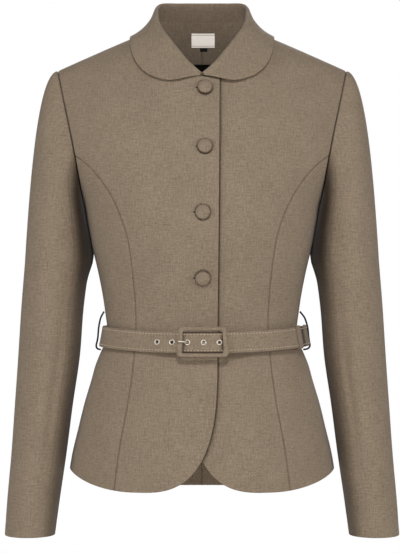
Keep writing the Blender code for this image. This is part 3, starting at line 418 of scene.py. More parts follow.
class Finishes:
    """The jacket's materials, each made once."""

    def __init__(self) -> None:
        """Make all the finishes."""
        self.suiting = Suiting().material()
        # Smooth viscose has a soft gloss, and the brushed tape none
        self.lining = Ribbed("viscose_lining_twill", "#15100D", "#1E1814", "#0A0807").material()
        # The label glows a little: painted light that keeps it bright in the shade of the neck
        self.label = Ribbed("woven_satin_ribbon", "#FBF4EB", "#F0E6DA", "#6E6255", rib=0.9 * MM,
                            roughness=0.6, painted_glow=0.25).material()
        self.tape = Ribbed("black_woven_tape", "#070605", "#0D0B0A", rib=0.9 * MM, roughness=0.9).material()
        # Nickel plate, stamped and tumbled, is pale and satin
        self.steel = Mottled("nickel_plated_steel", "#F0E8DB", 0.8 * MM, (0.38, 0.55), 1.0).material()
        # The plies of a thread wind round it
        plies = {"rib": 1.6 * MM, "slant": 55 * DEG, "roughness": 0.7, "bump": 0.5, "bump_depth": 0.2 * MM}
        self.stitch = Ribbed("polyester_topstitch", "#C2B099", "#DCCBB5", **plies).material()
        self.loop = Ribbed("black_loop_thread", "#0B0908", "#191614", **plies).material()


# Meshes


def grid_faces(rows: int, columns: int, round_rows: bool = False, round_columns: bool = False) -> Array:
    """Corner numbers of the quads of a grid that may close on itself.

    Args:
        rows: Number of rows.
        columns: Number of points in each row.
        round_rows: Whether the last row joins the first.
        round_columns: Whether the last column joins the first.

    Returns:
        One row of four numbers for each quad.
    """
    number = np.arange(rows * columns).reshape(rows, columns)
    if round_rows:
        number = np.concatenate((number, number[:1]))
    if round_columns:
        number = np.concatenate((number, number[:, :1]), axis=1)
    quads = (number[:-1, :-1], number[1:, :-1], number[1:, 1:], number[:-1, 1:])
    return joined(*quads).reshape(-1, 4)


@dataclass
class Piece:
    """Mesh of one piece of the jacket.

    Attributes:
        name: Name of the piece and of its object.
        points: Points, one row each.
        faces: Arrays of corner numbers, each array for faces with one number of corners.
        uv: Place of each point on the flat cloth, in metres.
        seam: Depth of painted shade at each point, from 0 to 1, in seams, creases and under parts; on a
            label, its woven stripes.
    """

    name: str
    points: Array
    faces: list[Array]
    uv: Array
    seam: Array | None = None

    def plain(self) -> bpy.types.Object:
        """Object in the scene with only the piece's points and faces.

        Returns:
            The object.
        """
        mesh = bpy.data.meshes.new(self.name)
        mesh.from_pydata(self.points.tolist(), [], [face for group in self.faces for face in group.tolist()])
        piece = bpy.data.objects.new(self.name, mesh)
        bpy.context.scene.collection.objects.link(piece)
        return piece

    def add(self, finish: Material, slot: str, node: str | None = None) -> bpy.types.Object:
        """Put the piece into the scene on the jacket's body.

        Args:
            finish: Material of the piece.
            slot: Not used.
            node: Solid that the piece stands for, if there is one.

        Returns:
            The piece's object.
        """
        piece = self.plain()
        mesh = piece.data
        corners = np.empty(len(mesh.loops), dtype=np.int32)
        mesh.loops.foreach_get("vertex_index", corners)
        mesh.uv_layers.new(name="cloth").data.foreach_set("uv", self.uv[corners].astype(np.float32).ravel())
        # The seam attribute holds the painted shade, and on a label its woven stripes
        shade = np.zeros(len(self.points)) if self.seam is None else self.seam
        mesh.attributes.new("seam", "FLOAT", "POINT").data.foreach_set("value", shade.astype(np.float32))
        mesh.materials.append(finish)
        mesh.shade_smooth()
        mesh.set_sharp_from_angle(angle=SHARP)
        mesh.update()
        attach(piece, "root")
        if node:
            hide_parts(node)
        LOG.info("%s: %d points", self.name, len(self.points))
        return piece


@dataclass
class ClothSheet:
    """Thin closed wall of cloth on a grid of points, rows down and columns across.

    Attributes:
        name: Name of the piece, also of the solid it stands for.
        outer: Grid of points on the face side.
        normal: Direction out of the cloth at each point.
        wall: Thickness.
        edges: How the top, foot, inner and outer sides end.
        seam_dip: Depth of the groove at a sewn side, and seam_reach its half width.
        shades: Depth of the painted shade at each side where it is sewn, and shade_reach its half width.
        lines: Painted shade drawn on the face, from 0 to 1; on a label, its woven stripes.
        flat: Place of each point on the flat cloth, if not measured over the surface.
    """

    name: str
    outer: Array
    normal: Array
    wall: float
    edges: tuple[Edge, ...] = (Edge.SEAM, Edge.FOLD, Edge.SEAM, Edge.SEAM)
    seam_dip: float = 0.9 * MM
    seam_reach: float = 1.5 * MM
    shade_reach: float = 1.0 * MM
    shades: tuple[Array | float, ...] = (0.45, 0.45, 0.45, 0.45)
    lines: Array | float = 0.0
    flat: Array | None = None

    def side_distances(self) -> list[Array]:
        """Distances over the cloth from the top, foot, inner and outer sides."""
        down, across = lengths_along(self.outer, 0), lengths_along(self.outer, 1)
        return [down, down[-1:] - down, across, across[:, -1:] - across]

    def shaped(self) -> tuple[Array, Array, Array]:
        """Face and back of the cloth with their sides finished.

        A sewn side dips by a bell curve of the distance from it, and painted shade darkens the groove.
        move to the middle by half the wall less the height of a circle.

        Returns:
            Face points, back points and the seam shade.
        """
        outer, inner = self.outer.copy(), self.outer - self.normal * self.wall
        shade = np.zeros(outer.shape[:2]) + self.lines
        radius = self.wall / 2
        for kind, distance, depth in zip(self.edges, self.side_distances(), self.shades):
            if kind is Edge.SEAM:
                outer = outer - self.normal * (self.seam_dip * bell(distance, self.seam_reach))[..., None]
                shade = np.maximum(shade, depth * bell(distance, self.shade_reach))
            else:
                away = np.clip(1.0 - distance / radius, 0.0, FOLD_LIMIT)
                fall = (radius * (1.0 - np.sqrt(1.0 - away**2)))[..., None]
                outer, inner = outer - self.normal * fall, inner + self.normal * fall
        return outer, inner, shade

    def flat_uv(self) -> Array:
        """Place of each point on the flat cloth: as given, or lengths from the middle and the top."""
        if self.flat is not None:
            return self.flat
        across, down = lengths_along(self.outer, 1), lengths_along(self.outer, 0)
        return joined(across - across[:, -1:] / 2, -down)

    def piece(self) -> Piece:
        """Closed wall: the face, the back turned round, and a strip along each side.

        Returns:
            The piece, its faces turned outwards.
        """
        outer, inner, shade = self.shaped()
        rows, columns = outer.shape[:2]
        count = rows * columns
        face = grid_faces(rows, columns)
        number = np.arange(count).reshape(rows, columns)
        sides = []
        for line in (number[::-1, 0], number[:, -1], number[0], number[-1, ::-1]):
            sides.append(joined(line[:-1], line[1:], line[1:] + count, line[:-1] + count))
        faces = np.concatenate([face, face[:, ::-1] + count] + sides)
        a, b, d = (outer.reshape(-1, 3)[face[:, k]] for k in (0, 1, 3))
        facing = np.sum(np.cross(b - a, d - a) * self.normal.reshape(-1, 3)[face[:, 0]])
        if facing < 0:
            faces = faces[:, ::-1]
        uv = self.flat_uv().reshape(-1, 2)
        return Piece(self.name, np.concatenate((outer, inner)).reshape(-1, 3), [faces],
                     np.concatenate((uv, uv)), np.concatenate((shade, shade)).ravel())

    def mirrored(self, name: str) -> "ClothSheet":
        """The same cut for the wearer's right."""
        flat = None if self.flat is None else 1.0 - self.flat
        return replace(self, name=name, outer=self.outer * MIRROR, normal=self.normal * MIRROR, flat=flat)

    def flat_size(self) -> tuple[tuple[float, float], float]:
        """Width and length of the flat cut, and its area as the sum of its cells.

        Returns:
            The two sizes and the area.
        """
        width = float(lengths_along(self.outer, 1)[:, -1].max())
        length = float(lengths_along(self.outer, 0)[-1].max())
        across, down = np.diff(self.outer, axis=1)[:-1], np.diff(self.outer, axis=0)[:, :-1]
        area = float(np.linalg.norm(np.cross(across, down), axis=-1).sum())
        return (width, length), min(area, width * length)

    def add(self, finish: Material, slot: str, held: str, rests_on: Sequence[str]) -> None:
        """Put the sheet into the scene in place of its solid, and work out the sizes of its flat cut.

        Args:
            finish: Material of the cloth.
            slot: The record's material slot.
            held: Not used.
            rests_on: Not used.
        """
        piece = self.piece().add(finish, slot, self.name)
        flat, area = self.flat_size()

    def hang_pair(self, finish: Material, *rests_on: str) -> None:
        """Hang a left sheet and its mirror image; {} stands for the side in what they rest on."""
        right = self.mirrored(self.name.replace("left", "right"))
        for side, sheet in (("left", self), ("right", right)):
            sheet.add(finish, "suiting", "hung", [name.format(side) for name in rests_on])


def loft(name: str, sections: Array, uv: Array, round_rows: bool = False) -> Piece:
    """Closed solid through rings of points, capped by fans at its ends unless it closes on itself.

    Args:
        name: Name of the piece.
        sections: Rings of points, one row each.
        uv: Place of each point on the flat cloth.
        round_rows: Whether the last ring joins the first.

    Returns:
        The piece, its faces turned outwards.
    """
    rings, around = sections.shape[:2]
    points, flat = sections.reshape(-1, 3), uv.reshape(-1, 2)
    faces = [grid_faces(rings, around, round_rows, True)]
    if not round_rows:
        number = np.arange(around)
        after = np.roll(number, -1)
        last = (rings - 1) * around
        points = np.concatenate((points, sections[[0, -1]].mean(axis=1)))
        flat = np.concatenate((flat, uv[[0, -1]].mean(axis=1)))
        hub = rings * around
        fans = (joined(hub, number, after), joined(hub + 1, after + last, number + last))
        faces.append(np.concatenate(fans))
    corners = faces[0]
    a, b, c, d = (points[corners[:, k]] for k in range(4))
    volume = np.sum(a * np.cross(b, c)) + np.sum(a * np.cross(c, d))
    if not round_rows:
        a, b, c = (points[faces[1][:, k]] for k in range(3))
        volume += np.sum(a * np.cross(b, c))
    if volume < 0:
        faces = [group[:, ::-1] for group in faces]
    return Piece(name, points, faces, flat)


def ring_uv(sections: Array) -> Array:
    """Flat place on a lofted solid: length round each ring and length from ring to ring."""
    return joined(lengths_along(sections, 1), lengths_along(sections, 0))


def turned(profile: Array, centre: Array, axis: Array, sides: int) -> Array:
    """Rings turned round an axis: each profile row is a radius and a height.

    Args:
        profile: Radii and heights, one row for each ring.
        centre: Foot of the axis.
        axis: Direction of the axis.
        sides: Points in each ring.

    Returns:
        Rings of points.
    """
    level = unit(np.cross(axis, (0.0, 0.0, 1.0)))
    upright = np.cross(level, axis)
    angles = full_turn(sides)[:, None]
    circle = np.cos(angles) * level + np.sin(angles) * upright
    return centre + profile[:, :1, None] * circle + profile[:, 1:, None] * axis


def tube(path: Array, side: Array, radius: Array, sides: int) -> Array:
    """Rings of a wire along a path that bends in one plane, whose normal is side.

    Args:
        path: Points along the wire.
        side: Normal of the plane that the path bends in.
        radius: Radius, one for all points or one for each.
        sides: Points in each ring.

    Returns:
        Rings of points.
    """
    along = unit(np.gradient(path, axis=0))
    other = unit(np.cross(along, side))
    angles = full_turn(sides)[:, None]
    reach = np.broadcast_to(radius, len(path))[:, None, None]
    return path[:, None] + reach * (np.cos(angles) * side + np.sin(angles) * other[:, None])


# Body form


class Ring(NamedTuple):
    """Level section of the body form."""

    z: float
    half_width: float
    front_depth: float
    back_depth: float


class Fold(NamedTuple):
    """Soft trough in the cloth between two places; a negative depth is a ridge."""

    x: float
    z: float
    end_x: float
    end_z: float
    reach: float
    depth: float


@dataclass(frozen=True)
class BodyForm:
    """Filled-out body of the jacket: level superellipses that roll off a sloping shoulder line."""

    rings: tuple[Ring, ...] = (
        Ring(0.03, 0.214, 0.07, 0.1), Ring(-0.045, 0.212, 0.079, 0.1056),
        Ring(-0.11, 0.203, 0.096, 0.1105), Ring(-0.155, 0.187, 0.1094, 0.112),
        Ring(-0.19, 0.171, 0.118, 0.1113), Ring(-0.225, 0.158, 0.1235, 0.1093),
        Ring(-0.25, 0.1535, 0.1247, 0.107), Ring(-0.281, 0.1475, 0.1208, 0.1022),
        Ring(-0.313, 0.14, 0.1128, 0.0968), Ring(-0.346, 0.1336, 0.1035, 0.091),
        Ring(-0.371, 0.13, 0.0985, 0.0883), Ring(-0.388, 0.128, 0.0978, 0.0883),
        Ring(-0.405, 0.1292, 0.0992, 0.0903), Ring(-0.42, 0.136, 0.1028, 0.094),
        Ring(-0.437, 0.143, 0.1066, 0.0985), Ring(-0.459, 0.149, 0.1113, 0.105),
        Ring(-0.491, 0.1585, 0.119, 0.1145), Ring(-0.524, 0.1667, 0.1258, 0.1228),
        Ring(-0.556, 0.1745, 0.1312, 0.1288), Ring(-0.59, 0.18, 0.136, 0.134),
        Ring(-0.64, 0.186, 0.141, 0.139),
    )
    ridge_top: float = 0.0291
    shoulder_slope: float = 0.46
    ridge_round: float = 0.045
    shoulder_roll: float = 0.16
    power: float = 2.3
    solve_steps: int = 14
    grain_stretch: float = 0.8
    # Heights between which the arm closes in on the body, up from the waist and down from the shoulder
    arm_near_below: tuple[float, float] = (-0.385, -0.27)
    arm_near_above: tuple[float, float] = (-0.1, -0.17)

    def size(self, z: Array, column: str) -> Array:
        """Half width, front depth or back depth at a height."""
        table = np.array(self.rings)[::-1]
        return smooth_curve(z, table[:, 0], table[:, Ring._fields.index(column)])

    def ridge(self, x: Array) -> Array:
        """Height of the shoulder line: a slope rounded off at the neck."""
        fall = np.sqrt(x * x + self.ridge_round**2) - self.ridge_round
        return self.ridge_top - self.shoulder_slope * fall

    def drop(self, run: Array) -> Array:
        """Drop below the shoulder line after a run over the cloth: a quarter circle, then straight down."""
        end = self.shoulder_roll * math.pi / 2
        arc = self.shoulder_roll * (1.0 - np.cos(np.minimum(run, end) / self.shoulder_roll))
        return arc + np.maximum(run - end, 0.0)

    def run(self, drop: Array) -> Array:
        """Run over the cloth that gives a drop below the shoulder line."""
        arc = self.shoulder_roll * np.arccos(1.0 - np.clip(drop / self.shoulder_roll, 0.0, 1.0))
        return arc + np.maximum(drop - self.shoulder_roll, 0.0)

    def round_off(self, places: Array, z: Array, face: Face) -> tuple[Array, Array, Array]:
        """Depth of the form, and its shares left by the turn to the side and by the shoulder's roll.

        Args:
            places: Turns and runs.
            z: Heights.
            face: Half of the form.

        Returns:
            The depth and the two shares.
        """
        depth = self.size(z, "front_depth" if face is Face.FRONT else "back_depth")
        across = np.minimum(np.abs(np.sin(places[..., 0])), 1.0)
        rolled = np.sin(np.minimum(places[..., 1], self.shoulder_roll * math.pi / 2) / self.shoulder_roll)
        return depth, (1.0 - across**self.power) ** (1.0 / self.power), rolled

    def point(self, places: Array, face: Face) -> Array:
        """Points at turns and runs: x is the half width times the turn's sine, found by repeated steps.

        Args:
            places: Turns and runs.
            face: Half of the form.

        Returns:
            Points.
        """
        turn, run = places[..., 0], places[..., 1]
        drop = self.drop(run)
        x = np.zeros_like(drop)
        for _ in range(self.solve_steps):
            x = self.size(self.ridge(x) - drop, "half_width") * np.sin(turn)
        z = self.ridge(x) - drop
        depth, roundness, rolled = self.round_off(places, z, face)
        return joined(x, face.value * depth * roundness * rolled, z)

    def normal(self, places: Array, face: Face) -> Array:
        """Outward direction, from small steps of turn and run.

        Args:
            places: Turns and runs.
            face: Half of the form.

        Returns:
            Unit vectors.
        """
        step_turn, step_run, limit = 0.004, 0.001, math.pi / 2
        turn, run = places[..., 0], places[..., 1]
        ends = ((np.minimum(turn + step_turn, limit), run), (np.maximum(turn - step_turn, -limit), run),
                (turn, run + step_run), (turn, np.maximum(run - step_run, 0.0)))
        more, less, below, above = (self.point(joined(*end), face) for end in ends)
        return unit(face.value * np.cross(more - less, below - above))

    def grain(self, places: Array, face: Face) -> Array:
        """Place on upright grain: x and z, lengthened where the form turns away at its sides and top."""
        x, _, z = np.moveaxis(self.point(places, face), -1, 0)
        depth, roundness, rolled = self.round_off(places, z, face)
        stretch = self.grain_stretch * depth
        return joined(x + np.sign(x) * stretch * (1.0 - roundness), z + stretch * (1.0 - rolled))

    def arm_near(self, z: Array) -> Array:
        """How close the arm and the body hang at a height, from 1 below the armpit to 0 at the waist."""
        return ease(z, *self.arm_near_below) * ease(z, *self.arm_near_above)

    def place(self, x: Array, z: Array) -> Array:
        """Turn and run of the point that shows at x and z."""
        x, z = np.broadcast_arrays(np.asarray(x, dtype=float), np.asarray(z, dtype=float))
        turn = np.arcsin(np.clip(x / self.size(z, "half_width"), -1.0, 1.0))
        return joined(turn, self.run(self.ridge(x) - z))

    def waist_point(self, angle: Array, z: Array) -> Array:
        """Point round the body at a height; the angle is 0 at the centre front and grows towards +X.

        Args:
            angle: Angles round the body.
            z: Heights.

        Returns:
            Points.
        """
        sine, cosine = np.sin(angle), np.cos(angle)
        depth = np.where(cosine >= 0, self.size(z, "front_depth"), self.size(z, "back_depth"))
        x = self.size(z, "half_width") * np.sign(sine) * np.abs(sine) ** (2 / self.power)
        y = -np.sign(cosine) * depth * np.abs(cosine) ** (2 / self.power)
        return joined(x, y, z)


def fold_relief(x: Array, z: Array, folds: Sequence[Fold]) -> Array:
    """Outward move of cloth at soft folds: a bell curve across each, fading towards its two ends.

    Args:
        x: Place across of each point.
        z: Its height.
        folds: Troughs and ridges.

    Returns:
        Moves in metres, below 0 in a trough.
    """
    move = np.zeros_like(x)
    for fold in folds:
        way_x, way_z = fold.end_x - fold.x, fold.end_z - fold.z
        length = math.hypot(way_x, way_z)
        along = ((x - fold.x) * way_x + (z - fold.z) * way_z) / length
        beside = ((z - fold.z) * way_x - (x - fold.x) * way_z) / length
        fade = np.sin(np.pi * np.clip(along / length, 0.0, 1.0)) ** 2
        move -= fold.depth * bell(beside, fold.reach) * fade
    return move


# Panels of the body


@dataclass(frozen=True)
class BodyPanels:
    """The eight panels: centre fronts, side fronts, side backs and centre backs.

    fine is the number of cloth steps in each step of the solids' seams.
    """

    form: BodyForm
    buttons: "Buttons"
    fine: int = 6
    cloth: float = 2.0 * MM
    neck_half_width: float = 0.072
    front_neck_run: float = 0.1712
    front_neck_power: float = 1.4
    back_neck_drop: float = 0.018
    shoulder_tip_x: float = 0.1944
    armpit_z: float = -0.225
    front_notch: Spot = Spot(0.169, -0.1588)
    back_notch_z: float = -0.15
    front_princess: tuple[Spot, ...] = (
        Spot(0.1537, -0.1709), Spot(0.1264, -0.2028), Spot(0.1016, -0.2561), Spot(0.0905, -0.3226),
        Spot(0.0873, -0.3856), Spot(0.0958, -0.4756), Spot(0.1079, -0.5429),
    )
    front_princess_hem_x: float = 0.115
    back_princess: tuple[Spot, ...] = (
        Spot(0.15, -0.16), Spot(0.112, -0.205), Spot(0.086, -0.29), Spot(0.075, -0.38),
        Spot(0.081, -0.47), Spot(0.091, -0.55),
    )
    back_princess_hem_x: float = 0.097
    edge_top: Spot = Spot(-0.0232, -0.0592)
    edge_waist: Spot = Spot(-0.02, -0.428)
    cutaway_foot_x: float = 0.083
    cutaway_power: float = 2.8
    cutaway_corner: float = 52 * DEG
    lap_inset: float = 3.2 * MM
    lap_full_x: float = 0.03
    lap_end_x: float = 0.062
    hem_side_z: float = -0.5765
    hem_front_z: float = -0.599
    hem_front_reach: float = 60 * DEG
    hem_back_z: float = -0.6135
    hem_back_reach: float = 75 * DEG
    lap_steps: int = 2
    neck_steps: int = 4
    shoulder_steps: int = 4
    upper_arm_steps: int = 7
    lower_arm_steps: int = 5
    seam_steps: int = 15
    notch_crowding: float = 1.2
    waist_crowding: float = 0.35
    waist_share: float = 0.55
    # Depths of painted shade: in the seams, along the lap's edge, where the arm hides the body's side, and
    # round the buttons
    seam_shade: float = 0.46
    shoulder_shade: float = 0.42
    armhole_shade: float = 0.75
    arm_shade_from_z: float = -0.07
    beside_shade: float = 0.12
    beside_range: tuple[float, float] = (0.9, 1.0)
    lap_shade: float = 0.95
    lap_shade_offset: float = 0.8 * MM
    lap_shade_reach: float = 1.5 * MM
    edge_lift: float = 1.0 * MM
    edge_lift_reach: float = 6.0 * MM
    button_shade: float = 0.8
    # Soft drags in the cloth, on the half at +X
    front_folds: tuple[Fold, ...] = (
        Fold(0.165, -0.185, 0.095, -0.135, 11 * MM, 1.2 * MM),
        Fold(0.15, -0.235, 0.1, -0.3, 12 * MM, 0.8 * MM),
        Fold(0.075, -0.35, 0.055, -0.425, 9 * MM, 0.6 * MM),
        Fold(0.112, -0.345, 0.104, -0.42, 8 * MM, 0.6 * MM),
        Fold(0.06, -0.43, 0.075, -0.56, 16 * MM, -0.9 * MM),
        Fold(0.135, -0.43, 0.155, -0.56, 13 * MM, -0.8 * MM),
    )
    back_folds: tuple[Fold, ...] = (
        Fold(0.15, -0.19, 0.07, -0.14, 13 * MM, 1.2 * MM),
        Fold(0.05, -0.33, 0.045, -0.42, 10 * MM, 0.8 * MM),
        Fold(0.055, -0.43, 0.065, -0.59, 17 * MM, -1.1 * MM),
        Fold(0.128, -0.43, 0.15, -0.56, 14 * MM, -0.9 * MM),
    )

    @property
    def tip_z(self) -> float:
        """Height of the shoulder's outer end."""
        return float(self.form.ridge(self.shoulder_tip_x))

    def hem_height(self, turn: Array, face: Face) -> Array:
        """Height of the hem: an eased dip from the side seam to the centre."""
        low, reach = ((self.hem_front_z, self.hem_front_reach) if face is Face.FRONT
                      else (self.hem_back_z, self.hem_back_reach))
        return self.hem_side_z + (low - self.hem_side_z) * ease(math.pi / 2 - np.abs(turn), 0.0, reach)

    def hem_line(self, turns: Array, face: Face) -> Array:
        """Turns and runs along the hem."""
        z = self.hem_height(turns, face)
        x = self.form.size(z, "half_width") * np.sin(turns)
        return joined(turns, self.form.run(self.form.ridge(x) - z))

    def armhole_x(self, z: Array) -> Array:
        """Distance of the armhole from the centre line at a height."""
        armpit_x = float(self.form.size(self.armpit_z, "half_width"))
        return smooth_curve(z, (self.armpit_z, self.front_notch.z, self.tip_z),
                            (armpit_x, self.front_notch.x, self.shoulder_tip_x))

    def armhole_line(self, start_z: float, end_z: float, steps: int) -> Array:
        """Turns and runs down the armhole, at even angles round its height.

        Args:
            start_z: Height of its first point.
            end_z: Height of its last point.
            steps: Steps of the solids' seam.

        Returns:
            Turns and runs.
        """
        middle, half = (self.tip_z + self.armpit_z) / 2, (self.tip_z - self.armpit_z) / 2
        ends = np.arccos(np.clip((np.array([start_z, end_z]) - middle) / half, -1.0, 1.0))
        z = middle + half * np.cos(np.linspace(ends[0], ends[1], steps * self.fine + 1))
        return self.form.place(self.armhole_x(z), z)

    def seam_shares(self) -> Array:
        """Shares down a long seam, closer together below the armhole and at the waist."""
        share = even(self.seam_steps * self.fine) ** self.notch_crowding
        wave = np.sin(2 * math.pi * (share - self.waist_share)) + math.sin(2 * math.pi * self.waist_share)
        return share - self.waist_crowding / (2 * math.pi) * wave

    def side_line(self) -> Array:
        """Turns and runs down the side seam, from the armpit to the hem."""
        z = self.armpit_z + (self.hem_side_z - self.armpit_z) * self.seam_shares()
        return self.form.place(self.form.size(z, "half_width"), z)

    def shoulder_line(self) -> Array:
        """Turns and runs along the shoulder seam, outwards."""
        x = np.linspace(self.neck_half_width, self.shoulder_tip_x, self.shoulder_steps * self.fine + 1)
        return self.form.place(x, self.form.ridge(x))

    def neck_line(self, face: Face) -> Array:
        """Turns and runs along the neck: a superellipse in front, a shallow dip behind.

        Args:
            face: Half of the form.

        Returns:
            Turns and runs.
        """
        angle = math.pi / 2 * even(self.neck_steps * self.fine)
        if face is Face.FRONT:
            x = self.neck_half_width * np.sin(angle) ** (2.0 / self.front_neck_power)
            run = self.front_neck_run * np.maximum(np.cos(angle), 0.0) ** (2.0 / self.front_neck_power)
            z = self.form.ridge(x) - self.form.drop(run)
        else:
            x = self.neck_half_width * np.sin(angle)
            z = self.form.ridge(x) - self.back_neck_drop * np.cos(angle) ** 2
        return self.form.place(x, z)

    def cutaway_spot(self, angle: Array) -> tuple[Array, Array]:
        """Place on the round cut, a superellipse from the front edge at angle 0 to the hem."""
        power = 2.0 / self.cutaway_power
        x = self.cutaway_foot_x - (self.cutaway_foot_x - self.edge_waist.x) * np.cos(angle) ** power
        z = self.edge_waist.z + (self.hem_front_z - self.edge_waist.z) * np.sin(angle) ** power
        return x, z

    def front_edge(self, heights: Array) -> Array:
        """Turns and runs down the front edge: the straight lap, then the start of the round cut.

        Args:
            heights: Heights.

        Returns:
            Turns and runs.
        """
        top, waist = self.edge_top, self.edge_waist
        straight = top.x + (waist.x - top.x) * (heights - top.z) / (waist.z - top.z)
        fall = np.clip((heights - waist.z) / (self.hem_front_z - waist.z), 0.0, 1.0)
        round_x, _ = self.cutaway_spot(np.arcsin(fall ** (self.cutaway_power / 2)))
        return self.form.place(np.where(heights > waist.z, straight, round_x), heights)

    def notch(self, face: Face) -> Spot:
        """Spot on the armhole where the princess seam starts."""
        if face is Face.FRONT:
            return self.front_notch
        return Spot(float(self.armhole_x(self.back_notch_z)), self.back_notch_z)

    def upper_arm(self, face: Face) -> Array:
        """Armhole from the shoulder's end down to the notch."""
        return self.armhole_line(self.tip_z, self.notch(face).z, self.upper_arm_steps)

    def lower_arm(self, face: Face) -> Array:
        """Armhole from the notch down to the armpit."""
        return self.armhole_line(self.notch(face).z, self.armpit_z, self.lower_arm_steps)

    def princess(self, face: Face) -> Array:
        """Turns and runs down a princess seam, a smooth curve from the armhole notch to the hem.

        Args:
            face: Half of the form.

        Returns:
            Turns and runs.
        """
        spots, hem_x = ((self.front_princess, self.front_princess_hem_x) if face is Face.FRONT
                        else (self.back_princess, self.back_princess_hem_x))
        turn = math.asin(hem_x / float(self.form.size(self.hem_front_z, "half_width")))
        hem = Spot(hem_x, float(self.hem_height(turn, face)))
        line = smooth_line((self.notch(face), *spots, hem), self.seam_shares())
        return self.form.place(line[:, 0], line[:, 1])

    def front_places(self) -> Array:
        """Turns and runs of a centre front, from its lapped edge to its princess seam.

        Returns:
            Grid of turns and runs.
        """
        neck = self.neck_line(Face.FRONT)
        corner = self.form.place(self.edge_top.x, self.edge_top.z)
        lap = corner + (neck[0] - corner) * even(self.lap_steps * self.fine)[:-1, None]
        top = np.concatenate((lap, neck, self.shoulder_line()[1:]))
        right = np.concatenate((self.upper_arm(Face.FRONT), self.princess(Face.FRONT)[1:]))
        heights = self.form.point(right, Face.FRONT)[:, 2]
        fall = (heights - heights[0]) / (heights[-1] - heights[0])
        corner_z = float(self.cutaway_spot(self.cutaway_corner)[1])
        left = self.front_edge(self.edge_top.z + (corner_z - self.edge_top.z) * fall)
        round_steps = len(top) // 2 + 1
        angles = np.linspace(self.cutaway_corner, math.pi / 2, round_steps + 1)
        round_part = self.form.place(*self.cutaway_spot(angles))
        turns = np.linspace(round_part[-1, 0], right[-1, 0], len(top) - round_steps)
        bottom = np.concatenate((round_part, self.hem_line(turns, Face.FRONT)[1:]))
        bottom[-1] = right[-1]
        return coons(top, bottom, left, right)

    def back_places(self) -> Array:
        """Turns and runs of a centre back, from the centre-back seam to its princess seam.

        Returns:
            Grid of turns and runs.
        """
        top = np.concatenate((self.neck_line(Face.BACK), self.shoulder_line()[1:]))
        right = np.concatenate((self.upper_arm(Face.BACK), self.princess(Face.BACK)[1:]))
        bottom = self.hem_line(np.linspace(0.0, right[-1, 0], len(top)), Face.BACK)
        bottom[-1] = right[-1]
        down = (right[:, 1] - right[0, 1]) / (right[-1, 1] - right[0, 1])
        return coons(top, bottom, joined(0.0, top[0, 1] + (bottom[0, 1] - top[0, 1]) * down), right)

    def side_places(self, face: Face) -> Array:
        """Turns and runs of a side panel, from its princess seam to the side seam."""
        seam, lower_arm, right = self.princess(face), self.lower_arm(face), self.side_line()
        bottom = self.hem_line(np.linspace(seam[-1, 0], math.pi / 2, len(lower_arm)), face)
        bottom[0], bottom[-1] = seam[-1], right[-1]
        return coons(lower_arm, bottom, seam, right)

    def edge_x(self, heights: Array) -> Array:
        """Place of the right front's edge at a height, as it lies on the left front."""
        return -self.form.point(self.front_edge(heights), Face.FRONT)[..., 0]

    def sheet(self, name: str, places: Array, face: Face) -> ClothSheet:
        """Cloth of a panel on the form, moved by its soft folds.

        Args:
            name: Name of the panel.
            places: Turns and runs.
            face: Half of the form.

        Returns:
            The panel on the wearer's left, its armhole shaded more than its other seams.
        """
        places = crowd_edges(places)
        points, normals = self.form.point(places, face), self.form.normal(places, face)
        x, _, z = np.moveaxis(points, -1, 0)
        move = fold_relief(x, z, self.front_folds if face is Face.FRONT else self.back_folds)
        outer_shade = np.where(z[:, -1:] > self.notch(face).z, self.arm_shade(z[:, -1:]), self.seam_shade)
        top_shade = self.armhole_shade if name.startswith("side") else self.shoulder_shade
        beside = ease(np.abs(np.sin(places[..., 0])), *self.beside_range) * self.form.arm_near(z)
        return ClothSheet(name, points + normals * move[..., None], normals, self.cloth,
                          shades=(top_shade, 0.0, self.seam_shade, outer_shade),
                          lines=self.beside_shade * beside, flat=self.form.grain(places, face))

    def arm_shade(self, z: Array) -> Array:
        """Shade of the armhole seam at a height, deeper towards the armpit."""
        deeper = ease(z, self.arm_shade_from_z, self.front_notch.z)
        return self.shoulder_shade + (self.armhole_shade - self.shoulder_shade) * deeper

    def lap_under(self, front: ClothSheet) -> ClothSheet:
        """Left front: pressed back under the right front, with a shade along the edge that lies on it.

        Args:
            front: Plain left front.

        Returns:
            The shaped front.
        """
        x, z = front.outer[..., 0], front.outer[..., 2]
        inset = self.lap_inset * (1.0 - ease(x, self.lap_full_x, self.lap_end_x))
        beside = x - self.edge_x(z) - self.lap_shade_offset
        lines = self.lap_shade * bell(beside, self.lap_shade_reach)
        return replace(front, outer=front.outer - front.normal * inset[..., None], lines=lines)

    def lap_over(self, front: ClothSheet) -> ClothSheet:
        """Right front: its edge lifts a little, and the cloth is shaded and pressed in round each button.

        Args:
            front: Plain left front.

        Returns:
            The shaped front.
        """
        edge = front.side_distances()[2]
        move = self.edge_lift * bell(edge, self.edge_lift_reach)
        lines = np.zeros_like(edge)
        for spot in self.buttons.spots:
            away = np.hypot(front.outer[..., 0] + spot.x, front.outer[..., 2] - spot.z)
            lines = np.maximum(lines, self.button_shade * ease(away, *self.buttons.shade_range))
        return replace(front, outer=front.outer + front.normal * move[..., None], lines=lines)

    def build(self, finish: Material) -> None:
        """Make the eight panels; the right front laps over the left.

        Args:
            finish: Material of the pieces.
        """
        front = self.sheet("front_left", double_lines(self.front_places()), Face.FRONT)
        front.edges = (Edge.SEAM, Edge.FOLD, Edge.FOLD, Edge.SEAM)
        self.lap_under(front).add(finish, "suiting", "hung", ("back_left",))
        over = self.lap_over(front).mirrored("front_right")
        over.add(finish, "suiting", "hung", ("back_right", "front_left"))
        rest = (("side_front_left", self.side_places(Face.FRONT), Face.FRONT, "front_{}"),
                ("back_left", self.back_places(), Face.BACK, "collar"),
                ("side_back_left", self.side_places(Face.BACK), Face.BACK, "back_{}"))
        for name, places, face, above in rest:
            self.sheet(name, places, face).hang_pair(finish, above)


# Sleeves


